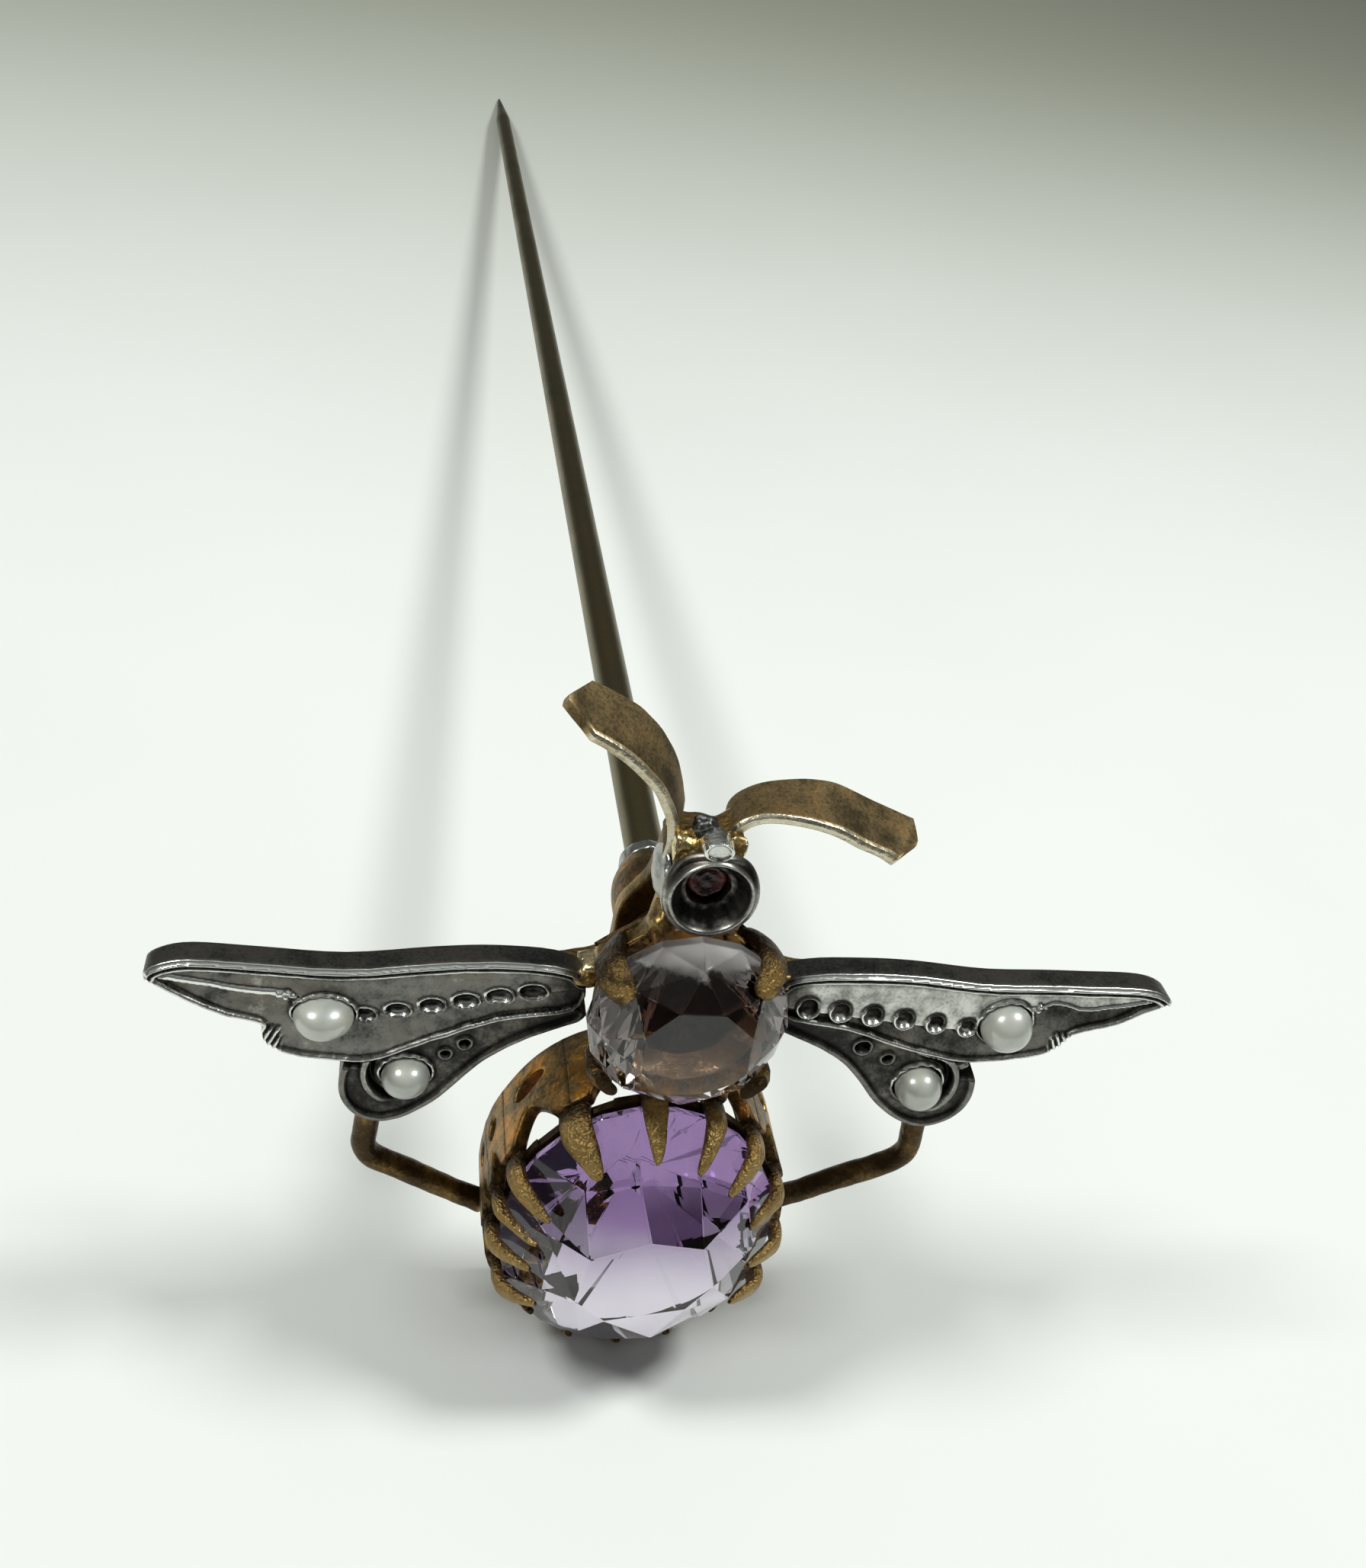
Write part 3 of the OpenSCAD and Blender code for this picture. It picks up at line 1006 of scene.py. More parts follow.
class Palette:
    """Every finish on the pin, made once."""

    def __init__(self) -> None:
        """Builds the materials."""
        shared = SharedEffects()
        gilt = dict(dark=(0.05, 0.032, 0.016), body=(0.34, 0.22, 0.08), bright=(0.8, 0.7, 0.42),
                    hammer=3600.0, relief=0.00006)
        self.gilt = MetalFinish("aged_gilt", stain=(0.46, 0.27, 0.07), **gilt).material(shared)
        self.hammered_gilt = MetalFinish("hammered_gilt", stain=(0.3, 0.17, 0.04), speckle=0.7,
                                         **{**gilt, "hammer": 7000.0, "relief": 0.00012}).material(shared)
        self.orange_gilt = MetalFinish("orange_gilt", stain=(0.62, 0.27, 0.035), stain_share=0.9,
                                       **gilt).material(shared)
        self.strip_gilt = MetalFinish(
            "strip_gilt", dark=(0.05, 0.036, 0.02), body=(0.4, 0.3, 0.15), bright=(0.74, 0.7, 0.56),
            stain=(0.27, 0.155, 0.06), stain_share=0.75, speckle=0.7, rough=(0.78, 0.3), hammer=5000.0,
            relief=0.00003).material(shared)
        self.stem = MetalFinish(
            "worn_stem", dark=(0.035, 0.03, 0.015), body=(0.17, 0.14, 0.07), bright=(0.5, 0.47, 0.36),
            stain=(0.22, 0.13, 0.035), speckle=0.3, rough=(0.42, 0.28), hammer=900.0,
            relief=0.00001, stretch=(1.0, 0.12, 1.0), patches=180.0).material(shared)
        self.silver = MetalFinish(
            "dark_silver", dark=(0.022, 0.02, 0.019), body=(0.2, 0.195, 0.18), bright=(0.84, 0.84, 0.8),
            stain=(0.13, 0.105, 0.075), speckle=0.25, rough=(0.42, 0.28), hammer=1500.0,
            relief=0.000012, patches=700.0).material(shared)
        self.solder = MetalFinish(
            "bare_silver", dark=(0.09, 0.09, 0.09), body=(0.42, 0.42, 0.4), bright=(0.85, 0.85, 0.82),
            stain=(0.33, 0.28, 0.18), stain_share=0.6, speckle=0.3, rough=(0.4, 0.18), hammer=3000.0,
            relief=0.00004).material(shared)
        self.pearl = NacreFinish("half_pearl_nacre", (0.52, 0.52, 0.46), (0.37, 0.395, 0.36)).material()
        # The pale stone warms upwards, and its chosen upper facets are painted dark brown, as shade.
        self.pale = StoneFinish("pale_quartz_glass", (0.97, 0.91, 0.95), (0.9, 0.76, 0.72),
                                (0.0, 0.0, 1.0), -0.001, 0.002, frost=0.0033, shade=(0.16, 0.05, 0.03),
                                shade_falloff_span=(0.0003, 0.0010)).material(shared)
        # Painted light: the amethyst is pale below and deep purple above, and its chosen facets are painted
        # darker downwards, as shade.
        self.amethyst = StoneFinish("amethyst_glass", (0.76, 0.7, 0.82), (0.15, 0.065, 0.24),
                                    (0.0, 0.35, 0.94), -0.0122, 0.0036, shade=(0.012, 0.004, 0.02),
                                    shade_falloff_span=(-0.0031, -0.005)).material(shared)
        self.cement = CementFinish("shellac_cement", (0.012, 0.006, 0.006), (0.16, 0.03, 0.02)).material()


# ---- geometry node trees ----


def shape_tree(name: str, inputs: dict) -> tuple[Tree, dict]:
    """Starts a geometry node tree with named inputs.

    Args:
        name: The tree's name.
        inputs: Default values by socket name; a number, whole number, vector or None for a material.

    Returns:
        The tree, and its inputs' sockets by name.
    """
    tree = bpy.data.node_groups.new(name, "GeometryNodeTree")
    tree.interface.new_socket(name="Geometry", in_out="INPUT", socket_type="NodeSocketGeometry")
    for label, default in inputs.items():
        kind = {int: "NodeSocketInt", float: "NodeSocketFloat", tuple: "NodeSocketVector",
                type(None): "NodeSocketMaterial"}[type(default)]
        socket = tree.interface.new_socket(name=label, in_out="INPUT", socket_type=kind)
        if default is not None:
            socket.default_value = default
    tree.interface.new_socket(name="Geometry", in_out="OUTPUT", socket_type="NodeSocketGeometry")
    work = Tree(tree)
    return work, work.add("NodeGroupInput").outputs


def close_tree(t: Tree, given: dict, geometry: Socket) -> bpy.types.NodeTree:
    """Ends a tree with Realize Instances and Set Material.

    Args:
        t: The tree.
        given: Its inputs' sockets, with one named Finish.
        geometry: The shape so far.

    Returns:
        The finished tree.
    """
    real = t.add("GeometryNodeRealizeInstances", {0: geometry}).outputs[0]
    dressed = t.add("GeometryNodeSetMaterial", {"Geometry": real, "Material": given["Finish"]})
    t.add("NodeGroupOutput", {0: dressed.outputs[0]})
    return t.tree


def run_tree(thing: Thing, tree: bpy.types.NodeTree, values: dict) -> Thing:
    """Turns an object into the plain mesh that a tree makes of it.

    Args:
        thing: The object.
        tree: The geometry node tree.
        values: Values of its inputs, by name.

    Returns:
        The same object with its new mesh and no modifier.
    """
    modifier = thing.modifiers.new("shape", "NODES")
    modifier.node_group = tree
    for item in tree.interface.items_tree:
        if item.item_type == "SOCKET" and item.in_out == "INPUT" and item.name in values:
            modifier[item.identifier] = values[item.name]
    graph = bpy.context.evaluated_depsgraph_get()
    made = bpy.data.meshes.new_from_object(thing.evaluated_get(graph), preserve_all_data_layers=True,
                                           depsgraph=graph)
    thing.modifiers.clear()
    thing.data = made
    return thing


def jittered(t: Tree, geometry: object, amount: object, scale: object, seed: float) -> Socket:
    """Moves points by smooth noise, as hand work does.

    Args:
        t: The tree.
        geometry: What is moved.
        amount: Largest move.
        scale: Waves for each metre.
        seed: Which noise it is.

    Returns:
        The moved geometry.
    """
    place = t.add("GeometryNodeInputPosition").outputs[0]
    noise = t.add("ShaderNodeTexNoise", {"Vector": place, "Scale": scale, "W": seed, "Detail": 2.0},
                  noise_dimensions="4D")
    shift = t.scaled(t.vector("SUBTRACT", noise.outputs["Color"], (0.5, 0.5, 0.5)), amount)
    return t.add("GeometryNodeSetPosition", {"Geometry": geometry, "Offset": shift}).outputs[0]


class Shapers:
    """The geometry node trees of the pin."""

    def __init__(self) -> None:
        """Builds every tree once."""
        self.wire = self._wire()
        self.oval_row = self._oval_row()

    @staticmethod
    def _wire() -> bpy.types.NodeTree:
        """A round wire along the object's own polyline, with rounded bends and a tapered point."""
        t, given = shape_tree("round_wire", {"Radius": 0.0004, "Bend": 0.001, "Step": 0.0002, "Sides": 24,
                                           "Point Length": 0.0, "Point Share": 1.0, "Unevenness": 0.0,
                                           "Finish": None})
        line = t.add("GeometryNodeMeshToCurve", {"Mesh": given["Geometry"]}).outputs[0]
        bent = t.add("GeometryNodeFilletCurve", {"Curve": line, "Count": 10, "Radius": given["Bend"],
                                                 "Limit Radius": True}, mode="POLY").outputs[0]
        even = t.add("GeometryNodeResampleCurve", {"Curve": bent, "Length": given["Step"]},
                     mode="LENGTH").outputs[0]
        length = t.add("GeometryNodeSplineLength").outputs[0]
        so_far = t.add("GeometryNodeSplineParameter").outputs["Length"]
        left = t.math("SUBTRACT", length, so_far)
        taper = t.math("DIVIDE", left, t.math("MAXIMUM", given["Point Length"], 1e-7))
        taper = t.math("MINIMUM", taper, 1.0)
        share = t.math("MULTIPLY_ADD", taper, t.math("SUBTRACT", 1.0, given["Point Share"]),
                       given["Point Share"])
        ring = t.add("GeometryNodeCurvePrimitiveCircle",
                     {"Resolution": given["Sides"], "Radius": given["Radius"]}).outputs[0]
        tube = t.add("GeometryNodeCurveToMesh", {"Curve": even, "Profile Curve": ring, "Scale": share,
                                                 "Fill Caps": True}).outputs[0]
        return close_tree(t, given, jittered(t, tube, given["Unevenness"], 900.0, 3.0))

    @staticmethod
    def _oval_row() -> bpy.types.NodeTree:
        """Copies of the object's mesh round an oval.

        In the mesh, X runs along the oval, Y is the row's own Y and Z is the distance outside the oval.
        """
        t, given = shape_tree("oval_row", {"Count": 16, "Pitch": 0.002, "Step Angle": 0.39,
                                         "Half Width": 0.0044, "Half Height": 0.0053,
                                         "Centre": (0.0, 0.0, 0.0), "Phase": 0.0, "Spread": 0.0,
                                         "Spread At": 2.36, "Spread Width": 0.49, "Unevenness": 0.0,
                                         "Waves": 500.0, "Finish": None})
        step = t.add("ShaderNodeCombineXYZ", {"X": given["Pitch"]}).outputs[0]
        spots = t.add("GeometryNodeMeshLine", {"Count": given["Count"], "Offset": step}).outputs[0]
        row = t.add("GeometryNodeInstanceOnPoints", {"Points": spots, "Instance": given["Geometry"]})
        real = t.add("GeometryNodeRealizeInstances", {0: row.outputs[0]}).outputs[0]
        place = t.add("ShaderNodeSeparateXYZ", {0: t.add("GeometryNodeInputPosition").outputs[0]})
        turn = t.math("DIVIDE", given["Step Angle"], given["Pitch"])
        even = t.math("MULTIPLY_ADD", place.outputs["X"], turn, given["Phase"])
        off = t.math("SUBTRACT", even, given["Spread At"])
        off = t.math("DIVIDE", off, given["Spread Width"])
        hump = t.math("EXPONENT", t.math("MULTIPLY", t.math("MULTIPLY", off, off), -1.0))
        angle = t.math("MULTIPLY_ADD", hump, given["Spread"], even)
        cosine, sine = t.math("COSINE", angle), t.math("SINE", angle)
        wide, high = given["Half Width"], given["Half Height"]
        on_oval = t.add("ShaderNodeCombineXYZ", {"X": t.math("MULTIPLY", wide, cosine),
                                                 "Y": place.outputs["Y"],
                                                 "Z": t.math("MULTIPLY", high, sine)}).outputs[0]
        out = t.vector("NORMALIZE", t.add("ShaderNodeCombineXYZ", {
            "X": t.math("MULTIPLY", high, cosine), "Z": t.math("MULTIPLY", wide, sine)}).outputs[0])
        where = t.vector("ADD", t.vector("ADD", on_oval, t.scaled(out, place.outputs["Z"])),
                         given["Centre"])
        wrapped = t.add("GeometryNodeSetPosition", {"Geometry": real, "Position": where}).outputs[0]
        return close_tree(t, given, jittered(t, wrapped, given["Unevenness"], given["Waves"], 7.0))


# ---- sub-assemblies ----


@dataclass
class Assembly(ABC):
    """Pieces that are built together.

    Attributes:
        palette: The finishes.
        shapers: The geometry node trees.
        nodes: The CAD nodes by name.
    """

    palette: Palette
    shapers: Shapers
    nodes: dict

    @abstractmethod
    def build(self) -> None:
        """Builds every piece."""


@dataclass
class Stem(Assembly):
    """The wire stem, its solder ferrule and the turned collar behind the thorax.

    Attributes:
        radius: Radius of the wire.
        tang: Length hidden in the collar.
        length: Length from the ferrule to the point.
        point: Length of the taper.
        point_radius: Radius at its end.
        collar: The collar's profile, as radius and y.
    """

    radius: float = 0.7
    tang: float = 3.2
    length: float = 145.0
    point: float = 12.0
    point_radius: float = 0.12
    collar: Sequence = (
        (0.0, -5.5), (1.1, -5.5), (1.12, -5.3), (0.95, -5.05), (0.9, -4.75), (0.93, -4.35), (1.12, -3.95),
        (1.32, -3.45), (1.43, -2.95), (1.45, -2.5), (1.42, -2.0), (1.33, -1.5), (1.18, -1.1), (1.02, -0.78),
        (0.6, -0.76), (0.0, -0.76),
    )

    def build(self) -> None:
        """Builds the three pieces."""
        line = polyline("pin_stem", [(0, -self.tang, 0), (0, self.length, 0)])
        run_tree(line, self.shapers.wire, {
            "Radius": self.radius * MM, "Step": 0.0006, "Sides": 32, "Point Length": self.point * MM,
            "Point Share": self.point_radius / self.radius, "Finish": self.palette.stem})
        settle(line, self.palette.stem, ["stem"], 0.42)
        smooth = catmull(self.collar[1:-1], 3, False)
        profile = [self.collar[0], *smooth, self.collar[-1]]
        verts, faces = lathe(profile, (0.0, 0.0), 72)
        still = np.zeros(len(verts))
        verts += 0.012 * np.stack([Ripple(11, 1.3).at(verts), still, Ripple(12, 1.1).at(verts)], 1)
        settle(raw_object("pin_collar", (verts, faces)), self.palette.orange_gilt,
               ["stem_collar"], 0.22)
        ring = rounded([(0.62, -0.8), (1.04, -0.78), (0.98, -0.25), (0.76, 0.0), (0.62, 0.02)], 0.1, 3, True)
        verts, faces = lathe(ring, (0.0, 0.0), 72, hollow=True)
        lift = 0.05 * Ripple(13, 0.8).at(verts)
        out = verts * np.array([1, 0, 1])
        verts += out / np.linalg.norm(out, axis=1)[:, None] * lift[:, None]
        settle(raw_object("solder_ferrule", (verts, faces)), self.palette.solder,
               ["stem_ferrule"], 0.35)


@dataclass(frozen=True)
class WingForm:
    """One side's wings as they were worked by hand, with X measured away from the body.

    Attributes:
        fore: Outline of the forewing, its leading edge first.
        hind: Outline of the hindwing.
        crease: Line between the forewing's upper and lower fields.
        cup_first: Centre of the first cup.
        cup_step: Step from cup to cup.
        fore_pearl: Centre, half width and half height of the forewing's pearl.
        hind_pearl: The same of the hindwing's pearl.
        hind_cups: Centres and radii of the hindwing's cups.
        fields: Brightness of the upper and the lower field.
        ridge: How bright the crease's ridge is.
        seed: Which irregularities it has.
        crest: Painted light on the cups' upper lips: low paints them shaded, high paints a highlight.
        cup_count: Number of cups.
        cup_radius: Radius of the first cup.
        cup_squash: Height of a cup over its width.
        front: Y of the wing's front.
        tip_corner: Which corner of the forewing's outline is its tip.
        lobe_corner: Which corner is the ribbed lobe under the tip.
    """

    fore: Sequence
    hind: Sequence
    crease: Sequence
    cup_first: tuple
    cup_step: tuple
    fore_pearl: tuple
    hind_pearl: tuple
    hind_cups: Sequence
    fields: tuple
    ridge: float
    seed: int
    crest: float = 0.05
    cup_count: int = 6
    cup_radius: float = 0.31
    cup_squash: float = 1.0
    front: float = -8.5
    tip_corner: int = 8
    lobe_corner: int = 13

    def cups(self) -> list:
        """Centres of the forewing's cups."""
        return [(self.cup_first[0] + k * self.cup_step[0], self.cup_first[1] + k * self.cup_step[1])
                for k in range(self.cup_count)]

    def _seat(self, spots: Array, pearl: tuple, depth: Array, wear_and_painted_light: Array) -> None:
        """Sinks a pearl's seat with its worn bezel into a wing's front; the bezel's lower side is painted
        darker, as the pearl's shadow.

        Args:
            spots: Points of the front.
            pearl: Centre, half width and half height of the pearl.
            depth: Depths below the front plane, changed in place.
            wear_and_painted_light: Brightness from wear and painted light, changed in place.
        """
        x, z = spots[:, 0] - pearl[0], spots[:, 1] - pearl[1]
        r = pearl[2]
        rho, turn = np.hypot(x, z * pearl[2] / pearl[3]), np.arctan2(z, x)
        upper = rise(np.sin(turn), -0.5, 0.35)
        wall = rise(rho, r + 0.02, r + 0.055)
        ring = rise(rho, r + 0.02, r + 0.07) * rise(rho, r + 0.2, r + 0.1)
        beads = 0.5 + 0.5 * np.cos(turn * 14 + self.seed)
        # The beaded bezel is bright above; below, it lies deeper and is painted darker, as the pearl's
        # shadow.
        pull(depth, ring, (0.02 + 0.05 * beads) * upper + 0.14 * (1 - upper))
        pull(wear_and_painted_light, ring, (0.5 + 0.4 * beads) * upper + 0.22 * (1 - upper))
        pull(depth, 1 - wall, 0.57)
        wear_and_painted_light *= wall

    def _cup_row(self, spots: Array, depth: Array, wear_and_painted_light: Array) -> None:
        """Sinks the row of cups, with painted shade under their upper lips and painted highlights on their
        lower lips and lower inner walls.

        Args:
            spots: Points of the front.
            depth: Depths below the front plane, changed in place.
            wear_and_painted_light: Brightness from wear and painted light, changed in place.
        """
        for k, (cx, cz) in enumerate(self.cups()):
            x, z = spots[:, 0] - cx, (spots[:, 1] - cz) / self.cup_squash
            rho, turn = np.hypot(x, z), np.arctan2(z, x)
            r = self.cup_radius * (1 - 0.03 * k) / self.cup_squash ** 0.5
            bowl = np.sqrt(np.clip(1 - (rho / r) ** 2, 0, 1))
            hollow = rise(rho, r + 0.03, r - 0.03)
            arch = rise(np.sin(turn + 0.5), -0.1, 0.5)
            lip = rise(rho, r - 0.01, r + 0.03) * rise(rho, r + 0.12, r + 0.06)
            painted_crescent_highlight = rise(rho, 0.45 * r, 0.8 * r) * rise(np.sin(turn + 0.25), -0.2, -0.75)
            strength = 0.45 if k == 0 else 1.0
            # Painted light: the upper lip takes the crest value and the lower lip a painted highlight;
            # inside, the upper part is painted darker, as shade, and the lower wall gets a painted crescent
            # highlight.
            pull(depth, lip, 0.03 + 0.1 * arch)
            below = 0.8 * min(1.0, 1.6 * self.cup_squash - 0.6)
            pull(wear_and_painted_light, lip * strength, self.crest * arch + below * (1 - arch))
            pull(depth, hollow, 0.1 + 0.24 * bowl)
            pull(wear_and_painted_light, hollow, 0.26 - 0.16 * arch + 0.55 * strength * painted_crescent_highlight)

    def fore_front(self, spots: Array) -> Front:
        """Works the forewing's front.

        Args:
            spots: Points of the plane.

        Returns:
            Their y and their brightness from wear and painted light.
        """
        outline = catmull(self.fore, STEPS_ON_WING, True)
        tip = STEPS_ON_WING * self.tip_corner
        lead = distance_to(spots, outline[:tip + 1])
        hem = distance_to(spots, outline[tip:])
        x, z = spots[:, 0], spots[:, 1]
        line = catmull(self.crease, 5, False)
        over = z - np.interp(x, line[:, 0], line[:, 1])
        for cx, cz in self.cups():
            over = np.maximum(over, self.cup_radius + 0.07 - np.hypot(x - cx, z - cz))
        upper = rise(over, -0.03, 0.02)
        high = 0.15 + 0.05 * rise(over, 0.05, 0.6)
        low = 0.33 - 0.12 * rise(over, -0.1, -1.1)
        depth = low + upper * (high - low)
        wear_and_painted_light = self.fields[1] + 0.08 * rise(over, -0.2, -1.2)
        wear_and_painted_light += upper * (self.fields[0] - self.fields[1])
        reach = 0.12 + 0.1 * rise(np.array(self.ridge), 0.5, 1.0)
        lip = rise(over, -0.02, 0.02) * rise(over, reach, reach - 0.07)
        lip *= rise(x, 11.2, 11.7)
        depth -= 0.08 * lip
        wear_and_painted_light += self.ridge * lip
        # Painted shadow: a dark line on the lower field just under the crease.
        wear_and_painted_light -= 0.22 * (rise(over, -0.14, -0.04) * (1 - upper))
        ridge = rise(hem, 0.16, 0.1)
        pull(depth, ridge, 0.06)
        pull(wear_and_painted_light, ridge, 0.55)
        wave = 0.5 + 0.5 * Ripple(self.seed + 4, 1.6).at(spots)
        # The leading edge: a painted highlight on its corner, a darker groove behind it, then a thin painted
        # highlight line.
        edge = np.interp(lead, [0, 0.13, 0.17, 0.23, 0.27, 0.33, 0.4],
                         [0.2, 0.0, 0.11, 0.11, 0.05, 0.06, 0.15])
        glint = np.interp(lead, [0, 0.13, 0.155, 0.24, 0.27, 0.33, 0.38],
                          [1.3, 1.3, 0.05, 0.05, 0.75, 0.75, self.fields[0]])
        border = rise(lead, 0.42, 0.38)
        pull(depth, border, edge)
        pull(wear_and_painted_light, border, glint - 0.25 * wave * rise(lead, 0.2, 0.27))
        self._cup_row(spots, depth, wear_and_painted_light)
        self._seat(spots, self.fore_pearl, depth, wear_and_painted_light)
        px, pz, pr = self.fore_pearl[:3]
        for gx, gz, r in ((0.87, 0.6, 0.13), (1.06, 0.46, 0.12), (1.22, 0.68, 0.1), (1.0, 0.78, 0.08)):
            rho = np.hypot(x - px - gx * pr / 0.84, z - pz - gz * pr / 0.84)
            bump = np.sqrt(np.clip(1 - (rho / r) ** 2, 0, 1))
            depth -= 0.16 * bump
            pull(wear_and_painted_light, rise(bump, 0.1, 0.5), 0.75)
        lobe = self.fore[self.lobe_corner]
        knuckle = rise(x, lobe[0] - 0.65, lobe[0] - 0.45) * rise(z, lobe[1] + 0.3, lobe[1] + 0.1)
        rib = 0.5 + 0.5 * np.cos((x - 12.0 + 0.45 * z) * 2 * math.pi / 0.2)
        pull(depth, knuckle, 0.16 - 0.12 * rib)
        pull(wear_and_painted_light, knuckle, 0.15 + 0.6 * rib)
        root = rise(x, 4.4, 3.0)
        wear_and_painted_light *= 1 - 0.8 * root
        depth = depth + 0.012 * Ripple(self.seed, 0.9).at(spots)
        depth += 0.004 * Ripple(self.seed + 1, 0.25).at(spots)
        return self.front + np.maximum(depth, 0.0), wear_and_painted_light + 0.05 * Ripple(self.seed + 2, 0.6).at(spots)

    def hind_front(self, spots: Array) -> Front:
        """Works the hindwing's front.

        Args:
            spots: Points of the plane.

        Returns:
            Their y and their brightness from wear and painted light.
        """
        outline = catmull(self.hind, STEPS_ON_WING, True)
        rim = distance_to(spots, outline[8:], False)
        x, z = spots[:, 0], spots[:, 1]
        depth = np.full(len(x), 0.2)
        wear_and_painted_light = np.full(len(x), 0.24)
        border = rise(rim, 0.26, 0.16)
        pull(depth, border, 0.04)
        pull(wear_and_painted_light, border, 0.34)
        px, pz, pr = self.hind_pearl[:3]
        rho, turn = np.hypot(x - px, z - pz), np.arctan2(z - pz, x - px)
        rho = rho + 0.75 - pr
        around = rise(np.cos(turn - 0.2), 0.0, 0.5)
        pit = rise(rho, 0.98, 1.04) * rise(rho, 1.2, 1.12) * around
        pull(depth, pit, 0.42)
        # Painted shade: the pit beside the pearl is darkened.
        wear_and_painted_light -= pit * wear_and_painted_light * 0.9
        lip = rise(rho, 1.14, 1.22) * rise(rho, 1.44, 1.34) * around
        pull(depth, lip, 0.0)
        pull(wear_and_painted_light, lip, 0.42)
        notch = rise(rho, 1.4, 1.46) * rise(rho, 2.1, 1.95)
        notch *= rise(abs(turn - 0.7), 0.7, 0.45)
        rib = 0.5 + 0.5 * np.cos(turn * 12)
        pull(depth, notch, 0.5 - 0.42 * rise(rib, 0.45, 0.8))
        pull(wear_and_painted_light, notch, 0.45 * rib)
        for cx, cz, r in self.hind_cups:
            away = np.hypot(x - cx, z - cz)
            bowl = np.sqrt(np.clip(1 - (away / r) ** 2, 0, 1))
            hollow = rise(away, r + 0.03, r - 0.02)
            ring = rise(away, r + 0.13, r + 0.05)
            pull(depth, ring, 0.1)
            pull(wear_and_painted_light, ring, 0.3)
            pull(depth, hollow, 0.12 + 0.34 * bowl)
            # Painted light: each cup is dark inside, with a painted highlight on its lower wall.
            pull(wear_and_painted_light, hollow, 0.05 + 0.3 * rise(z - cz, -0.05, -0.22))
        self._seat(spots, self.hind_pearl, depth, wear_and_painted_light)
        root = rise(x, 5.2, 3.4)
        wear_and_painted_light *= 1 - 0.7 * root
        depth = depth + 0.012 * Ripple(self.seed + 5, 0.8).at(spots)
        return self.front + 0.05 + np.maximum(depth, 0.0), wear_and_painted_light + 0.05 * Ripple(self.seed + 6, 0.5).at(spots)

    def fore_detail(self, spots: Array) -> Array:
        """Where the forewing is finely worked: edges, crease, cups and seat."""
        outline = catmull(self.fore, STEPS_ON_WING, True)
        line = catmull(self.crease, 5, False)
        over = spots[:, 1] - np.interp(spots[:, 0], line[:, 0], line[:, 1])
        near = distance_to(spots, outline, True) < 0.45
        pearl = self.fore_pearl
        seat = np.hypot(spots[:, 0] - pearl[0], spots[:, 1] - pearl[1]) < 1.2
        return near | ((over > -0.4) & (over < 0.75) & (spots[:, 0] < 9.6)) | (np.abs(over) < 0.3) | seat

    def hind_detail(self, spots: Array) -> Array:
        """Where the hindwing is finely worked: all but its root."""
        return spots[:, 0] > 5.4


